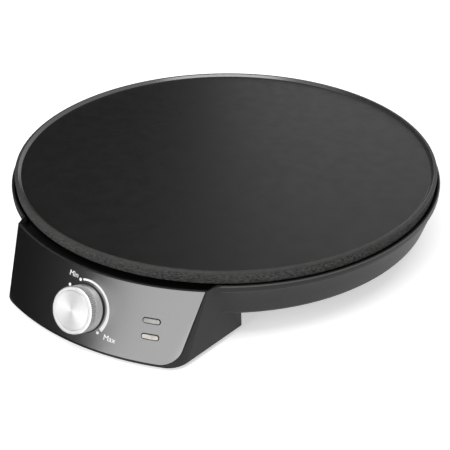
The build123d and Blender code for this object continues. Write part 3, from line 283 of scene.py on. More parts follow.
def closed_piece(name, points, faces):
    """Closed surface. Its faces are turned over if its signed volume is negative."""
    piece = add_mesh(name, points, faces)
    mesh = piece.data
    mesh.calc_loop_triangles()
    corners = np.empty(len(mesh.loop_triangles) * 3, np.int32)
    mesh.loop_triangles.foreach_get("vertices", corners)
    a, b, c = np.moveaxis((points - points.mean(0))[corners.reshape(-1, 3)], 1, 0)
    if np.einsum("ij,ij->i", a, np.cross(b, c)).sum() < 0:
        mesh.flip_normals()
    return piece


def grid_faces(rows, columns, ring=True):
    """Quads of a grid of points numbered row by row, closed round its columns if it is a ring."""
    number = np.arange(rows * columns).reshape(rows, columns)
    right = np.roll(number, -1, axis=1)
    if not ring:
        number, right = number[:, :-1], right[:, :-1]
    return np.stack((number[:-1], right[:-1], right[1:], number[1:]), axis=-1).reshape(-1, 4).tolist()


def turned_piece(name, profile, origin, along, across, columns, relief=None):
    """Closed surface of revolution with a pole at each end of its profile.

    P(row, turn) = origin + height*along + (radius + relief)*(cos turn*across + sin turn*(along x across)).
    """
    radius, height = profile[1:-1, 0, None], profile[1:-1, 1, None]
    turn = np.linspace(0, 2 * pi, columns, endpoint=False)[None, :]
    grown = radius + (relief(radius, height, turn) if relief else 0)
    spoke = np.cos(turn)[..., None] * across + np.sin(turn)[..., None] * np.cross(along, across)
    ring = origin + height[..., None] * along + grown[..., None] * spoke
    poles = origin + profile[[0, -1], 1][:, None] * along
    points = np.concatenate((ring.reshape(-1, 3), poles))
    rows = len(radius)
    here = np.arange(columns)
    onward = np.roll(here, -1)
    last, start_pole = (rows - 1) * columns, rows * columns
    start_fan = np.stack((onward, here, np.full(columns, start_pole)), -1)
    end_fan = np.stack((last + here, last + onward, np.full(columns, start_pole + 1)), -1)
    return closed_piece(name, points, grid_faces(rows, columns) + start_fan.tolist() + end_fan.tolist())


def shade(piece, sharp=radians(35)):
    """Smooth shading that keeps edges sharper than an angle."""
    piece.data.polygons.foreach_set("use_smooth", np.ones(len(piece.data.polygons), bool))
    piece.data.set_sharp_from_angle(angle=sharp)


def even_normals(piece):
    """Lets large faces set the shading at the edges of small ones."""
    weights = piece.modifiers.new("even_normals", "WEIGHTED_NORMAL")
    weights.keep_sharp = True
    weights.mode = "FACE_AREA"
    weights.weight = 80


def merged_copy(node, name):
    """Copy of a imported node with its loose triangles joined, shaded smooth and standing for the node."""
    piece = add_object(name, frame["nodes"][node].data.copy())
    piece.data.materials.clear()
    loose = bmesh.new()
    loose.from_mesh(piece.data)
    same_place, no_length = 0.002 * MM, 0.0005 * MM
    bmesh.ops.remove_doubles(loose, verts=loose.verts, dist=same_place)
    bmesh.ops.dissolve_degenerate(loose, edges=loose.edges, dist=no_length)
    loose.to_mesh(piece.data)
    loose.free()
    shade(piece)
    even_normals(piece)
    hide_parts(node)
    return piece


def settle(piece, node, material):
    """Gives a piece its finish and the body of the node it belongs to."""
    piece.data.materials.append(material)
    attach(piece, frame["nodes"][node]["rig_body"])


def refinish(piece, *zones):
    """Gives some of a piece's faces other finishes, from pairs of mask and material. The first mask wins."""
    masks = [mask for mask, _ in zones]
    slots = np.select(masks, list(range(1, len(zones) + 1)), 0)
    for _, material in zones:
        piece.data.materials.append(material)
    piece.data.polygons.foreach_set("material_index", slots.astype(np.int32))


# ---------------------------------------------------------------- materials
def new_finish(name, colour, roughness, metallic=0.0, **sockets):
    """Material with its even values on the shader's own sockets."""
    material = bpy.data.materials.get(name)
    if material:
        return material, None
    material = bpy.data.materials.new(name)
    material.use_nodes = True
    shader = material.node_tree.nodes["Principled BSDF"]
    shader.inputs["Base Color"].default_value = (*colour, 1)
    shader.inputs["Roughness"].default_value = roughness
    shader.inputs["Metallic"].default_value = metallic
    for socket, value in sockets.items():
        shader.inputs[socket.replace("_", " ")].default_value = value
    return material, shader


def add_node(material, kind, **settings):
    """New node with some of its settings."""
    node = material.node_tree.nodes.new(kind)
    for setting, value in settings.items():
        setattr(node, setting, value)
    return node


def grain(material, size, detail, stretch=(1, 1, 1)):
    """Noise on Object coordinates with features of about one size. Returns its factor."""
    links = material.node_tree.links
    place = add_node(material, "ShaderNodeTexCoord")
    mapping = add_node(material, "ShaderNodeMapping")
    mapping.inputs["Scale"].default_value = stretch
    noise = add_node(material, "ShaderNodeTexNoise")
    noise.inputs["Scale"].default_value = 1 / size
    noise.inputs["Detail"].default_value = detail
    links.new(place.outputs["Object"], mapping.inputs["Vector"])
    links.new(mapping.outputs["Vector"], noise.inputs["Vector"])
    return noise.outputs["Fac"]


def spread(material, factor, low, high):
    """Noise carried over to the range from low to high, which it then fills."""
    usual_low, usual_high = 0.3, 0.7
    span = add_node(material, "ShaderNodeMapRange")
    span.inputs["From Min"].default_value = usual_low
    span.inputs["From Max"].default_value = usual_high
    span.inputs["To Min"].default_value = low
    span.inputs["To Max"].default_value = high
    material.node_tree.links.new(factor, span.inputs["Value"])
    return span.outputs["Result"]


def tint(material, shader, factor, colour, low, high):
    """Colour that wanders between two shares of itself.

    A Mix node set to colours takes them at inputs 6 and 7 and gives them out at output 2.
    """
    mix = add_node(material, "ShaderNodeMix", data_type="RGBA")
    mix.inputs[6].default_value = (*(part * low for part in colour), 1)
    mix.inputs[7].default_value = (*(min(part * high, 1) for part in colour), 1)
    material.node_tree.links.new(factor, mix.inputs[0])
    material.node_tree.links.new(mix.outputs[2], shader.inputs["Base Color"])


def raise_bumps(material, shader, factor, depth):
    """Bump of a real depth."""
    bump = add_node(material, "ShaderNodeBump")
    bump.inputs["Strength"].default_value = 1.0
    bump.inputs["Distance"].default_value = depth
    material.node_tree.links.new(factor, bump.inputs["Height"])
    material.node_tree.links.new(bump.outputs["Normal"], shader.inputs["Normal"])


def coating_finish(colour):
    """Black non-stick coating: satin, with a fine orange-peel skin."""
    material, shader = new_finish("nonstick_coating", colour, 0.42, Specular_IOR_Level=0.28)
    if shader:
        tint(material, shader, grain(material, 2.2 * MM, 4), colour, 0.82, 1.2)
        worn = spread(material, grain(material, 9 * MM, 3), 0.39, 0.46)
        material.node_tree.links.new(worn, shader.inputs["Roughness"])
        raise_bumps(material, shader, grain(material, 0.55 * MM, 2), 0.006 * MM)
    return material


def cast_finish(colour):
    """The same coating on the coarse cast wall, where it lies thinner on the high spots."""
    material, shader = new_finish("coated_casting", colour, 0.5, Specular_IOR_Level=0.0)
    if shader:
        streaks = spread(material, grain(material, 1.8 * MM, 4, (1, 1, 2.2)), 0, 1)
        tint(material, shader, streaks, colour, 2.8, 11.0)
        raise_bumps(material, shader, grain(material, 1.3 * MM, 4, (1, 1, 2)), 0.22 * MM)
    return material


def lip_edge_highlight_finish(colour):
    """The coating on the lip's outer edge, coloured lighter as a painted highlight along the edge."""
    material, shader = new_finish("lip_edge_painted_highlight", colour, 0.45, Specular_IOR_Level=0.1)
    if shader:
        tint(material, shader, grain(material, 3 * MM, 4), colour, 3.5, 7.0)
    return material


def slope_highlight_finish(colour):
    """The coating on the slope inside the lip: glossier, and coloured lighter as a painted highlight."""
    material, shader = new_finish("slope_painted_highlight", colour, 0.22, Specular_IOR_Level=1.0)
    if shader:
        tint(material, shader, grain(material, 3 * MM, 4), colour, 2.0, 5.0)
    return material


def plastic_finish(colour):
    """Black moulded plastic: an even satin with a fine spark-eroded grain."""
    material, shader = new_finish("moulded_plastic", colour, 0.46, Specular_IOR_Level=0.22)
    if shader:
        tint(material, shader, grain(material, 3 * MM, 3), colour, 0.85, 1.15)
        raise_bumps(material, shader, grain(material, 0.32 * MM, 2), 0.006 * MM)
    return material


def band_edge_highlight_finish(colour):
    """The same plastic on the rim band's narrow edges, coloured lighter as a painted highlight along them."""
    material, shader = new_finish("band_edge_painted_highlight", colour, 0.38, Specular_IOR_Level=0.4)
    if shader:
        tint(material, shader, grain(material, 3 * MM, 3), colour, 2.2, 3.4)
    return material


def channel_shade_finish():
    """The same plastic in the deep channel before the plate, dull and coloured nearly black as painted shade.
    """
    colour = (0.006, 0.006, 0.006)
    material, shader = new_finish("channel_painted_shade", colour, 0.7, Specular_IOR_Level=0.2)
    if shader:
        tint(material, shader, grain(material, 3 * MM, 3), colour, 0.85, 1.15)
    return material


def fascia_finish(colour):
    """Satin metal film with a faint upright brushing."""
    material, shader = new_finish("satin_film", colour, 0.35, metallic=1.0)
    if shader:
        tint(material, shader, grain(material, 0.5 * MM, 3, (1, 1, 0.06)), colour, 0.96, 1.04)
        raise_bumps(material, shader, grain(material, 0.3 * MM, 2, (1, 1, 0.05)), 0.0015 * MM)
    return material


def knob_finish(colour):
    """Turned aluminium with a satin skin."""
    material, shader = new_finish("turned_aluminium", colour, 0.46, metallic=1.0)
    if shader:
        tint(material, shader, grain(material, 0.6 * MM, 3), colour, 0.93, 1.05)
        raise_bumps(material, shader, grain(material, 0.15 * MM, 2), 0.002 * MM)
    return material


def grip_shade_finish(colour):
    """The knob's side, coloured darker than the face as painted shade in its flutes."""
    material, shader = new_finish("grip_painted_shade", colour, 0.36, metallic=1.0)
    if shader:
        tint(material, shader, grain(material, 0.5 * MM, 3), colour, 0.85, 1.1)
        raise_bumps(material, shader, grain(material, 0.2 * MM, 2), 0.004 * MM)
    return material


def cap_finish(colour):
    """Spun aluminium: fine rings, so it shines in two opposite fans."""
    material, shader = new_finish(
        "spun_aluminium", colour, 0.42, metallic=1.0, Anisotropic=0.55, Anisotropic_Rotation=0.25
    )
    if shader:
        along = add_node(material, "ShaderNodeTangent", direction_type="UV_MAP", uv_map="spin")
        material.node_tree.links.new(along.outputs["Tangent"], shader.inputs["Tangent"])
        tint(material, shader, grain(material, 0.8 * MM, 2), colour, 0.96, 1.04)
    return material


def window_finish(name, colour):
    """A lens's window: nearly clear plastic over a lamp that shows through unevenly."""
    material, shader = new_finish(name, colour, 0.2, Transmission_Weight=0.15)
    if shader:
        tint(material, shader, spread(material, grain(material, 2.2 * MM, 2), 0, 1), colour, 0.8, 1.25)
        raise_bumps(material, shader, grain(material, 0.6 * MM, 1), 0.01 * MM)
    return material


def outline_shade_finish():
    """A lens's turned-down edge, coloured dark as painted shade for the dark outline round the lens."""
    colour = (0.035, 0.035, 0.034)
    material, shader = new_finish("lens_outline_painted_shade", colour, 0.3)
    if shader:
        tint(material, shader, grain(material, 1.0 * MM, 2), colour, 0.8, 1.3)
    return material


def plain_finish(slot, colour, roughness, metallic, size, depth, **sockets):
    """Finish of a small inner piece: an uneven tone and a fine skin."""
    material, shader = new_finish(f"{slot}_finish", colour, roughness, metallic, **sockets)
    if shader:
        tint(material, shader, grain(material, 4 * size, 3), colour, 0.82, 1.12)
        raise_bumps(material, shader, grain(material, size, 2), depth)
    return material


INNER_FINISHES = {
    # slot: colour, roughness, metallic, grain size, grain depth
    "heater_steel": ((0.16, 0.15, 0.14), 0.5, 1.0, 0.5 * MM, 0.01 * MM),
    "ceramic": ((0.78, 0.74, 0.66), 0.55, 0.0, 0.3 * MM, 0.01 * MM),
    "plated_steel": ((0.6, 0.59, 0.56), 0.3, 1.0, 0.4 * MM, 0.004 * MM),
    "screw_steel": ((0.35, 0.35, 0.35), 0.35, 1.0, 0.3 * MM, 0.005 * MM),
    "tin_plate": ((0.55, 0.55, 0.54), 0.35, 1.0, 1.0 * MM, 0.01 * MM),
    "copper": ((0.72, 0.36, 0.2), 0.35, 1.0, 0.4 * MM, 0.004 * MM),
    "brown_resin": ((0.12, 0.045, 0.02), 0.4, 0.0, 0.4 * MM, 0.006 * MM),
    "white_plastic": ((0.75, 0.74, 0.7), 0.45, 0.0, 0.4 * MM, 0.004 * MM),
    "natural_rubber": ((0.03, 0.03, 0.03), 0.75, 0.0, 0.25 * MM, 0.02 * MM),
    # dark_trim colours the ring round the knob's foot, whose darkness stands partly for the knob's shade
    # there: painted shade.
    "dark_trim": ((0.03, 0.03, 0.03), 0.45, 0.0, 0.3 * MM, 0.003 * MM),
    "neon_glass": ((0.9, 0.72, 0.6), 0.08, 0.0, 0.8 * MM, 0.001 * MM),
}
CLEARNESS = {"neon_glass": 0.7}  # share of the light that a slot lets through


def slot_finish(slot):
    """Finish of one of the record's slots, for the nodes shown as they are."""
    return plain_finish(slot, *INNER_FINISHES[slot], Transmission_Weight=CLEARNESS.get(slot, 0.0))


def record_slot(node):
    """The material slot that the record gives a node."""
    return next(part["material_slot"] for part in frame["record"]["subparts"] if part["node"] == node)


# ---------------------------------------------------------------- operators, one for each group of pieces
class CREPE_OT_griddle_plate(Operator):
    """Make the griddle plate: cooking surface, lip and coarse cast wall"""

    bl_idname = "crepe.griddle_plate"
    bl_label = "Griddle plate"

    DRAFT = 0.2 * MM  # how far the side wall leans in towards its foot
    WALL_SPAN = (0.28, 0.94)  # the rough part of the side wall, as shares of its height from the top
    WALL_ROWS = 20
    EDGE_RADIUS = 1.0 * MM  # round the lip's outer edge
    EDGE_DEPTH = 0.9 * MM  # how far down the lip edge's painted highlight goes
    WALL_SKIN = 0.75 * MM  # how far in the side wall's faces may lie
    WAVES = 48
    SHORTEST_WAVE = 1.6 * MM

    def execute(self, context):
        sizes = context.scene.crepe_plate
        under = COOKING_HEIGHT - sizes.thickness
        crown = PLATE_RADIUS - sizes.lip_crown_width
        slope_foot = crown - sizes.lip_slope_width
        wall = [
            (PLATE_RADIUS - self.DRAFT * share, LIP_TOP + (sizes.foot_height - LIP_TOP) * share, 0)
            for share in np.linspace(*self.WALL_SPAN, self.WALL_ROWS)
        ]
        profile = rounded(
            [
                (0, COOKING_HEIGHT, 0),
                (slope_foot, COOKING_HEIGHT, 1.0 * MM),
                (crown, LIP_TOP, 0.8 * MM),
                (PLATE_RADIUS, LIP_TOP, self.EDGE_RADIUS),
                *wall,
                (PLATE_RADIUS - self.DRAFT, sizes.foot_height, 0.3 * MM),
                (PLATE_RADIUS - sizes.skirt, sizes.foot_height, 0.3 * MM),
                (PLATE_RADIUS - sizes.skirt, under, 0.8 * MM),
                (0, under, 0),
            ]
        )
        up, right = np.array((0.0, 0, 1)), np.array((1.0, 0, 0))
        relief = self.cast_relief(sizes)
        piece = turned_piece("griddle_plate_shell", profile, np.zeros(3), up, right, sizes.turns, relief)
        shade(piece)
        coating = context.scene.crepe_finishes.coating
        settle(piece, "griddle_plate", coating_finish(coating))
        centres = rows_of(piece.data.polygons, "center")
        radius, height = np.hypot(centres[:, 0], centres[:, 1]), centres[:, 2]
        outside = radius > PLATE_RADIUS - self.WALL_SKIN
        refinish(
            piece,
            (outside & (height < LIP_TOP - self.EDGE_DEPTH), cast_finish(coating)),
            # The lip's outer edge: lighter colour as a painted highlight.
            ((radius > crown + 0.1 * MM) & (height > under), lip_edge_highlight_finish(coating)),
            # The slope inside the lip: lighter colour as a painted highlight.
            ((radius > slope_foot) & (height > under), slope_highlight_finish(coating)),
        )
        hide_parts("griddle_plate")
        return {"FINISHED"}

    def cast_relief(self, sizes):
        """Roughness of the wall, always inwards: a sum of seeded waves, whole round the plate, that dies
        out at the lip and the foot."""
        rng = np.random.default_rng(11)
        round_waves = rng.integers(40, 380, self.WAVES)
        up_waves = rng.uniform(-1, 1, self.WAVES) * 2 * pi / self.SHORTEST_WAVE
        phases = rng.uniform(0, 2 * pi, self.WAVES)
        top = LIP_TOP - 1.2 * MM
        middle, half = (top + sizes.foot_height) / 2, (top - sizes.foot_height) / 2
        reach, run_out = 1.15, 0.3  # as shares of half the wall's height
        swing = 14  # how far the sum of the waves goes between no depth and full depth

        def relief(radius, height, turn):
            window = np.clip(reach - np.abs(height - middle) / half, 0, run_out) / run_out
            window = window * (radius > PLATE_RADIUS - 0.5 * MM)
            waves = np.zeros(np.broadcast(height, turn).shape)
            for count, climb, phase in zip(round_waves, up_waves, phases):
                waves += np.sin(count * turn + climb * height + phase)
            return -sizes.cast_relief * window * np.clip(0.5 + waves / swing, 0, 1)

        return relief


class CREPE_OT_housing(Operator):
    """Finish the housing and the cover under its control pod"""

    bl_idname = "crepe.housing"
    bl_label = "Housing"

    def execute(self, context):
        plastic = context.scene.crepe_finishes.plastic
        for node in ("housing", "pod_bottom_cover"):
            settle(merged_copy(node, node + "_shell"), node, plastic_finish(plastic))
        shell = bpy.data.objects["housing_shell"]
        centres, normals = rows_of(shell.data.polygons, "center"), rows_of(shell.data.polygons, "normal")
        refinish(
            shell,
            # The channel's faces: nearly black colour as painted shade.
            (self.in_channel(centres, normals), channel_shade_finish()),
            # The rim band's narrow edges: lighter colour as a painted highlight.
            (self.on_band_edges(centres, normals), band_edge_highlight_finish(plastic)),
        )
        return {"FINISHED"}

    @staticmethod
    def on_band_edges(centres, normals):
        """Which faces are the rim band's narrow slopes of 45 degrees, along its top and its foot, where the
        painted highlight goes.
        """
        band_height, slope_width = 6 * MM, 0.75 * MM
        inset = RIM_RADIUS - np.hypot(centres[:, 0], centres[:, 1])
        slanting = np.abs(np.abs(normals[:, 2]) - sin(radians(45))) < 0.1
        on_band = centres[:, 2] > RIM_TOP - band_height
        return slanting & on_band & (inset > 0.05 * MM) & (inset < slope_width)

    @staticmethod
    def in_channel(centres, normals):
        """Which faces line the channel: in front, a little below the rim, and not looking outwards. They get
        painted shade.
        """
        run_back, depth, rim_edge = 55 * MM, 9 * MM, 0.3 * MM
        under_plate, front_wall = 12 * MM, 1.5 * MM
        height = centres[:, 2]
        radius = np.hypot(centres[:, 0], centres[:, 1])
        outwards = (centres[:, :2] * normals[:, :2]).sum(1) / radius
        leaning = FASCIA_RADIUS + (DIAL_ORIGIN[2] - height) * tan(LEAN)
        in_front = centres[:, 1] < DIAL_ORIGIN[1] + run_back
        below_rim = (height > RIM_TOP - depth) & (height < RIM_TOP - rim_edge)
        between_walls = (radius > PLATE_RADIUS - under_plate) & (radius < leaning - front_wall)
        return in_front & below_rim & between_walls & (outwards < 0.3)


class CREPE_OT_fascia(Operator):
    """Finish the curved metal front"""

    bl_idname = "crepe.fascia"
    bl_label = "Fascia"

    def execute(self, context):
        piece = merged_copy("fascia_panel", "fascia_skin")
        finishes = context.scene.crepe_finishes
        settle(piece, "fascia_panel", fascia_finish(finishes.fascia))
        cut_edge = np.abs(rows_of(piece.data.polygons, "normal")[:, 2]) > 0.8
        refinish(piece, (cut_edge, plastic_finish(finishes.plastic)))
        return {"FINISHED"}


class CREPE_OT_lenses(Operator):
    """Make the two lamp lenses, each a rounded bar with a domed window"""

    bl_idname = "crepe.lenses"
    bl_label = "Lamp lenses"

    def execute(self, context):
        finishes = context.scene.crepe_finishes
        self.make_lens("ready_lamp_lens", window_finish("ready_window", finishes.ready_lens))
        self.make_lens("power_lamp_lens", window_finish("power_window", finishes.power_lens))
        return {"FINISHED"}

    @staticmethod
    def make_lens(node, window):
        """Stack of rounded-bar outlines: P(row, turn) = centre + height*normal + spine*across
        + (half the height - inset)*(cos turn*across + sin turn*up), spine to the side that turn is on."""
        points = node_points(node)
        middle = (points.min(0) + points.max(0)) / 2
        spoke = middle[:2] / np.linalg.norm(middle[:2])
        normal = np.array((*(spoke * cos(LEAN)), sin(LEAN)))
        across = np.array((-spoke[1], spoke[0], 0.0))
        slope = np.cross(normal, across)
        out = points @ normal
        top, back = out.max(), out.min()
        front = points[out > top - 0.5 * MM]
        along, up = front @ across, front @ slope
        centre = (along.min() + along.max()) / 2 * across + (up.min() + up.max()) / 2 * slope
        half_height = (up.max() - up.min()) / 2
        spine = (along.max() - along.min()) / 2 - half_height
        section = np.array(
            (  # inset from the outline, and height
                (0.1 * MM, back),
                (0.0, back + 0.1 * MM),
                (0.0, top - 0.3 * MM),
                (0.12 * MM, top - 0.1 * MM),
                (0.3 * MM, top - 0.06 * MM),
                (0.4 * MM, top - 0.16 * MM),
                (0.8 * MM, top - 0.05 * MM),
                (1.2 * MM, top),
            )
        )
        inset, height = section[:, 0, None], section[:, 1, None]
        rim_rows = 4
        columns = 64
        off_middle = 1e-6  # so that no point has to choose between the two ends of the spine
        turn = np.linspace(0, 2 * pi, columns, endpoint=False)[None, :] + off_middle
        radius = half_height - inset
        flat = np.sign(np.cos(turn)) * spine + radius * np.cos(turn)
        rise = radius * np.sin(turn)
        rings = centre + height[..., None] * normal + flat[..., None] * across + rise[..., None] * slope
        last = (len(section) - 1) * columns
        faces = grid_faces(len(section), columns)
        faces += [list(range(columns))[::-1], list(range(last, last + columns))]
        lens = closed_piece(node + "_window", rings.reshape(-1, 3), faces)
        shade(lens)
        settle(lens, node, window)
        # The rim rows get the dark colour: painted shade for the lens's outline.
        refinish(lens, (np.arange(len(faces)) < rim_rows * columns, outline_shade_finish()))
        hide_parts(node)


class CREPE_OT_knob(Operator):
    """Make the knob: fluted grip, turned face and the spun cap let into it"""

    bl_idname = "crepe.knob"
    bl_label = "Knob"

    GRIP_ROWS = 40
    COLUMNS_PER_FLUTE = 12
    FACE_DEPTH = 1.0 * MM  # how far down the side the face's finish goes; below it the grip's darker colour is painted shade

    def execute(self, context):
        sizes = context.scene.crepe_knob
        radius, height = in_dial(node_points("knob_body"))
        face, foot = height.max(), height[radius > radius.max() - 0.02 * MM].min()
        foot_radius = radius.max()
        face_radius = radius[height > face - 0.01 * MM].max() + sizes.bevel
        cap_span, cap_height = in_dial(node_points("knob_cap"))
        cap_radius, cap_foot = cap_span.max(), cap_height.min()
        gap, floor, bore_slack = 0.05 * MM, 1.4 * MM, 0.2 * MM
        seat = cap_foot - gap
        roof = seat - floor
        hub, bore, hub_foot = 5.0 * MM, 3.05 * MM, 3.7 * MM
        bore_top = in_dial(node_points("thermostat_shaft"))[1].max() + bore_slack
        grip = [
            (face_radius + (foot_radius - face_radius) * share, face + (foot - face) * share, 0)
            for share in np.linspace(0.06, 0.96, self.GRIP_ROWS)
        ]
        profile = rounded(
            [
                (0, seat, 0),
                (cap_radius + gap, seat, 0.1 * MM),
                (cap_radius + gap, face, 0.12 * MM),
                (face_radius - sizes.bevel, face, 0.25 * MM),
                (face_radius, face - sizes.bevel, 0.25 * MM),
                *grip,
                (foot_radius, foot, 0.15 * MM),
                (foot_radius - sizes.wall, foot, 0.15 * MM),
                (face_radius - sizes.wall, roof, 0.4 * MM),
                (hub, roof, 0.3 * MM),
                (hub, hub_foot, 0.15 * MM),
                (bore, hub_foot, 0.1 * MM),
                (bore, bore_top, 0.1 * MM),
                (0, bore_top, 0),
            ],
            steps=5,
        )

        def flutes(radius, height, turn):
            """Grooves of half a cosine, cut off short behind the face and running out towards the foot."""
            run_out, cut_off = 0.3, 0.06
            share = (height - sizes.flute_foot) / (sizes.flute_top - sizes.flute_foot)
            window = np.clip(np.minimum(share / run_out, (1 - share) / cut_off), 0, 1)
            window = window * (radius > face_radius - 0.3 * MM)
            groove = np.abs(np.cos(sizes.flute_count * turn / 2)) ** 1.6
            return -sizes.flute_depth * window * (1 - groove)

        columns = sizes.flute_count * self.COLUMNS_PER_FLUTE
        body = turned_piece("knob_grip", profile, DIAL_ORIGIN, DIAL_OUT, DIAL_RIGHT, columns, flutes)
        shade(body, radians(40))
        finishes = context.scene.crepe_finishes
        settle(body, "knob_body", knob_finish(finishes.aluminium))
        level = in_dial(rows_of(body.data.polygons, "center"))[1]
        # Below the face the side gets the darker colour: painted shade.
        refinish(body, (level < face - self.FACE_DEPTH, grip_shade_finish(finishes.grip)))
        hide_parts("knob_body")
        self.make_cap(finishes, cap_radius, cap_foot, cap_height.max())
        return {"FINISHED"}

    @staticmethod
    def make_cap(finishes, radius, foot, top):
        """Spun disc with a broken edge. Its UV map runs round it, for the direction of the spinning."""
        rows, columns = 24, 192
        rings = [(radius * share, top, 0) for share in np.linspace(0.04, 0.94, rows)]
        edges = ((radius, top, 0.12 * MM), (radius, foot, 0.08 * MM))
        profile = rounded([(0, top, 0), *rings, *edges, (0, foot, 0)], steps=4)
        cap = turned_piece("knob_cap_disc", profile, DIAL_ORIGIN, DIAL_OUT, DIAL_RIGHT, columns)
        shade(cap)
        corners = np.empty(len(cap.data.loops), np.int32)
        cap.data.loops.foreach_get("vertex_index", corners)
        away = rows_of(cap.data.vertices, "co")[corners] - DIAL_ORIGIN
        across, up = away @ DIAL_RIGHT, away @ DIAL_UP
        turn = np.arctan2(up, across) / (2 * pi)
        sizes = np.empty(len(cap.data.polygons), np.int32)
        cap.data.polygons.foreach_get("loop_total", sizes)
        first_corner = np.repeat(np.cumsum(sizes) - sizes, sizes)
        turn = turn - np.round(turn - turn[first_corner])  # keeps each face on one side of the seam
        spin = cap.data.uv_layers.new(name="spin")
        spin.data.foreach_set("uv", np.stack((turn, np.hypot(across, up) / radius), -1).ravel())
        settle(cap, "knob_cap", cap_finish(finishes.aluminium))
        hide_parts("knob_cap")


class CREPE_OT_dial_print(Operator):
    """Print the dial's arc, dots and words on the fascia"""

    bl_idname = "crepe.dial_print"
    bl_label = "Dial print"

    LIFT = 0.01 * MM  # from the fascia to the ink's underside
    WORDS = {"Min": (-15.1 * MM, 15.6 * MM), "Max": (16.7 * MM, -13.6 * MM)}  # across and up
    CAPITAL = 0.729  # height of a capital letter as a share of its font's size

    def execute(self, context):
        sizes = context.scene.crepe_print
        ink = self.ink_finish(context.scene.crepe_finishes.ink)
        self.make_arc(sizes, ink)
        dots = {"off": sizes.off_angle, "least": sizes.least_angle, "most": sizes.most_angle}
        for name, bearing in dots.items():
            self.make_dot(sizes, name, bearing, ink)
        for word, place in self.WORDS.items():
            self.make_word(sizes, word, place, ink)
        return {"FINISHED"}

    @staticmethod
    def ink_finish(colour):
        """White printing ink, a little uneven."""
        material, shader = new_finish("white_ink", colour, 0.5)
        if shader:
            tint(material, shader, grain(material, 0.4 * MM, 3), colour, 0.94, 1.06)
        return material

    def make_arc(self, sizes, ink):
        """Ring sector on the fascia: a flat rectangle that grows is carried round the knob's centre."""
        turn = np.linspace(sizes.arc_start, sizes.arc_end, 120)[:, None]
        share = np.linspace(0, 1, len(turn))[:, None]
        half = (sizes.arc_start_width + (sizes.arc_end_width - sizes.arc_start_width) * share**2) / 2
        side = np.array((-1, 1, 1, -1)) * half + sizes.arc_radius
        out = np.array((0, 0, 1, 1)) * sizes.ink + self.LIFT
        points = on_fascia(side * np.sin(turn), side * np.cos(turn), out).reshape(-1, 3)
        last = 4 * (len(turn) - 1)
        faces = grid_faces(len(turn), 4) + [[3, 2, 1, 0], [last, last + 1, last + 2, last + 3]]
        settle(closed_piece("dial_arc", points, faces), "fascia_panel", ink)

    def make_dot(self, sizes, name, bearing, ink):
        """Flat disc on the fascia: a ring of points at its foot and one at its face."""
        columns = 32
        turn = np.linspace(0, 2 * pi, columns, endpoint=False)
        across = sizes.arc_radius * sin(bearing) + sizes.dot_radius * np.cos(turn)
        up = sizes.arc_radius * cos(bearing) + sizes.dot_radius * np.sin(turn)
        out = np.array((self.LIFT, self.LIFT + sizes.ink))[:, None]
        points = on_fascia(across, up, out).reshape(-1, 3)
        foot, face = range(columns)[::-1], range(columns, 2 * columns)
        faces = grid_faces(2, columns) + [list(foot), list(face)]
        settle(closed_piece(f"dial_dot_{name}", points, faces), "fascia_panel", ink)

    def make_word(self, sizes, word, place, ink):
        """Word laid on the fascia, made a mesh before it is bent to the cone."""
        curve = bpy.data.curves.new(word, "FONT")
        curve.body = word
        curve.size = sizes.letter_height / self.CAPITAL
        curve.extrude = 0.5  # only its sign is used, to tell the letters' face from their underside
        text = add_object(word, curve)
        bpy.context.view_layer.update()
        mesh = bpy.data.meshes.new_from_object(text)
        bpy.data.objects.remove(text)
        across, up, side = rows_of(mesh.vertices, "co").T
        out = np.where(side > 0, self.LIFT + sizes.ink, self.LIFT)
        points = on_fascia(place[0] + across, place[1] + up, out)
        mesh.vertices.foreach_set("co", points.ravel())
        mesh.materials.clear()
        mesh.update()
        settle(add_object(f"dial_word_{word.lower()}", mesh), "fascia_panel", ink)


class CREPE_OT_inner_parts(Operator):
    """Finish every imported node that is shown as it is"""

    bl_idname = "crepe.inner_parts"
    bl_label = "Inner parts"

    def execute(self, context):
        plastic = context.scene.crepe_finishes.plastic
        for node, piece in frame["nodes"].items():
            if piece.hide_render:
                continue
            slot = record_slot(node)
            material = plastic_finish(plastic) if slot == "black_plastic" else slot_finish(slot)
            piece.data.materials.clear()
            piece.data.materials.append(material)
        return {"FINISHED"}


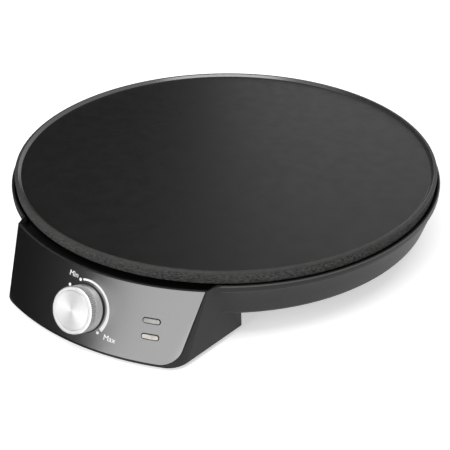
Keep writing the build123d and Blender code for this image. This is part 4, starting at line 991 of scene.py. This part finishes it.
class CREPE_OT_studio(Operator):
    """Set the camera, the pale floor, the lamps and the white surroundings"""

    bl_idname = "crepe.studio"
    bl_label = "Studio"

    def execute(self, context):
        sizes = context.scene.crepe_studio
        context.scene.view_settings.view_transform = "Standard"
        self.set_camera(context, sizes)
        self.lay_floor()
        self.light_world(context)
        self.light_object()
        self.light_knob()
        self.stand_flag(sizes)
        return {"FINISHED"}

    @staticmethod
    def set_camera(context, sizes):
        """Camera on a sphere round its target, turned a little about its line of sight."""
        azimuth, elevation = sizes.camera_azimuth, sizes.camera_elevation
        target = Vector(sizes.camera_target)
        back = Vector((sin(azimuth) * cos(elevation), -cos(azimuth) * cos(elevation), sin(elevation)))
        right = Vector((cos(azimuth), sin(azimuth), 0))
        up = back.cross(right)
        roll = sizes.camera_roll
        turned_right = right * cos(roll) + up * sin(roll)
        turned_up = up * cos(roll) - right * sin(roll)
        place = target + back * sizes.camera_distance
        camera = add_object("camera", bpy.data.cameras.new("camera"))
        camera.data.lens = sizes.camera_lens
        camera.data.sensor_width = 36
        camera.data.clip_start = 0.01
        axes = Matrix((turned_right, turned_up, back)).transposed().to_4x4()
        camera.matrix_world = Matrix.Translation(place) @ axes
        context.scene.camera = camera

    @staticmethod
    def seen(material):
        """One for the camera and for rays that metal and glass send out, nought for the rest."""
        links = material.node_tree.links
        path = add_node(material, "ShaderNodeLightPath")
        shown = path.outputs["Is Camera Ray"]
        for ray in ("Is Glossy Ray", "Is Transmission Ray"):
            either = add_node(material, "ShaderNodeMath", operation="MAXIMUM")
            links.new(shown, either.inputs[0])
            links.new(path.outputs[ray], either.inputs[1])
            shown = either.outputs[0]
        return shown

    def lay_floor(self):
        """Round pale floor that keeps the object's shadow."""
        reach, glow = 6.0, 0.5
        turn = np.linspace(0, 2 * pi, 96, endpoint=False)
        points = np.stack((reach * np.cos(turn), reach * np.sin(turn), 0 * turn), -1)
        floor = add_mesh("floor", points, [list(range(len(turn)))])
        material, shader = new_finish("floor_paper", (0.9, 0.9, 0.9), 0.9, Specular_IOR_Level=0.0)
        shader.inputs["Emission Color"].default_value = (1, 1, 1, 1)
        share = add_node(material, "ShaderNodeMath", operation="MULTIPLY")
        share.inputs[1].default_value = glow
        material.node_tree.links.new(self.seen(material), share.inputs[0])
        material.node_tree.links.new(share.outputs[0], shader.inputs["Emission Strength"])
        material.cycles.emission_sampling = "NONE"
        floor.data.materials.append(material)

    def light_world(self, context):
        """White to the camera and in reflections, softer as a lamp."""
        world = bpy.data.worlds.new("surroundings")
        world.use_nodes = True
        context.scene.world = world
        world.cycles.sampling_method = "NONE"  # so that the black card keeps its light out of the metal
        sky = world.node_tree.nodes["Background"]
        sky.inputs["Color"].default_value = (1, 1, 1, 1)
        as_lamp, as_seen = 0.45, 1.0
        strength = add_node(world, "ShaderNodeMapRange")
        strength.inputs["To Min"].default_value = as_lamp
        strength.inputs["To Max"].default_value = as_seen
        world.node_tree.links.new(self.seen(world), strength.inputs["Value"])
        world.node_tree.links.new(strength.outputs["Result"], sky.inputs["Strength"])

    @staticmethod
    def hang_lamp(name, place, aim, width, height, power):
        """Rectangular soft box at a place, turned towards its aim."""
        light = bpy.data.lights.new(name, "AREA")
        light.shape = "RECTANGLE"
        light.size, light.size_y = width, height
        light.energy = power
        lamp = add_object(name, light)
        lamp.location = place
        lamp.rotation_euler = (Vector(aim) - Vector(place)).to_track_quat("-Z", "Y").to_euler()
        return lamp

    def light_object(self):
        """Soft boxes aimed at the plate's middle. Metal and gloss don't show the one in front."""
        middle = (0, 0, 0)
        self.hang_lamp("overhead_box", (0.19, -0.3, 1.3), middle, 1.0, 0.4, 7.0)
        self.hang_lamp("right_box", (1.1, -0.5, 0.6), middle, 0.8, 0.8, 0.2)
        front = self.hang_lamp("front_box", (-0.5, -1.1, 0.55), middle, 1.0, 0.8, 8.5)
        front.visible_glossy = False

    def light_knob(self):
        """Long low box at the front left that shines on the knob alone, because the card would leave
        its face black."""
        place = DIAL_ORIGIN + 0.8 * np.array((-0.53, -0.84, 0.12))
        lamp = self.hang_lamp("knob_box", place, DIAL_ORIGIN, 1.3, 0.4, 2.05)
        lit = bpy.data.collections.new("lit_by_knob_box")
        for name in ("knob_grip", "knob_cap_disc"):
            lit.objects.link(bpy.data.objects[name])
        lamp.light_linking.receiver_collection = lit

    @staticmethod
    def stand_flag(sizes):
        """Black card round the left, lying and then upright, that only reflections see.

        P(turn, row) = place + (r cos turn, r sin turn, z), with r and z from the card's bent section.
        """
        turn = np.linspace(sizes.flag_back, sizes.flag_front, 48)[None, :]
        tip = 0.01
        radius = np.array((tip, sizes.flag_reach, sizes.flag_reach))[:, None]
        height = np.array((0.0, 0.0, sizes.flag_height))[:, None]
        spokes = np.stack((radius * np.cos(turn), radius * np.sin(turn), height + 0 * turn), axis=-1)
        points = np.array(sizes.flag_place) + spokes.reshape(-1, 3)
        card = add_mesh("flag", points, grid_faces(3, turn.size, ring=False))
        material, _ = new_finish("black_card", (0.003, 0.003, 0.003), 1.0, Specular_IOR_Level=0.0)
        card.data.materials.append(material)
        card.visible_camera = False
        card.visible_diffuse = False
        card.visible_shadow = False


class CREPE_PT_maker(Panel):
    """Lists the sizes and the steps"""

    bl_idname = "CREPE_PT_maker"
    bl_label = "Crepe maker"
    bl_space_type = "VIEW_3D"
    bl_region_type = "UI"
    bl_category = "Crepe Maker"

    def draw(self, context):
        layout = self.layout
        for group in PROPERTY_GROUPS:
            box = layout.box()
            box.label(text=group.replace("crepe_", "").capitalize())
            for name in getattr(context.scene, group).bl_rna.properties.keys():
                if name not in ("rna_type", "name"):
                    box.prop(getattr(context.scene, group), name)
        for step in STEPS:
            layout.operator(step.bl_idname)


PROPERTY_GROUPS = {
    "crepe_plate": PlateSizes,
    "crepe_knob": KnobSizes,
    "crepe_print": PrintSizes,
    "crepe_finishes": Finishes,
    "crepe_studio": StudioSizes,
}
STEPS = (
    CREPE_OT_griddle_plate,
    CREPE_OT_housing,
    CREPE_OT_fascia,
    CREPE_OT_lenses,
    CREPE_OT_knob,
    CREPE_OT_dial_print,
    CREPE_OT_inner_parts,
    CREPE_OT_studio,
)


def register():
    for name, group in PROPERTY_GROUPS.items():
        bpy.utils.register_class(group)
        setattr(bpy.types.Scene, name, PointerProperty(type=group))
    for step in (*STEPS, CREPE_PT_maker):
        bpy.utils.register_class(step)


def unregister():
    for step in (CREPE_PT_maker, *reversed(STEPS)):
        bpy.utils.unregister_class(step)
    for name, group in reversed(PROPERTY_GROUPS.items()):
        delattr(bpy.types.Scene, name)
        bpy.utils.unregister_class(group)


def main():
    """Runs every step."""
    register()
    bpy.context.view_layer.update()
    bpy.ops.crepe.griddle_plate()
    bpy.ops.crepe.housing()
    bpy.ops.crepe.fascia()
    bpy.ops.crepe.lenses()
    bpy.ops.crepe.knob()
    bpy.ops.crepe.dial_print()
    bpy.ops.crepe.inner_parts()
    bpy.ops.crepe.studio()


if __name__ == "__main__":
    main()
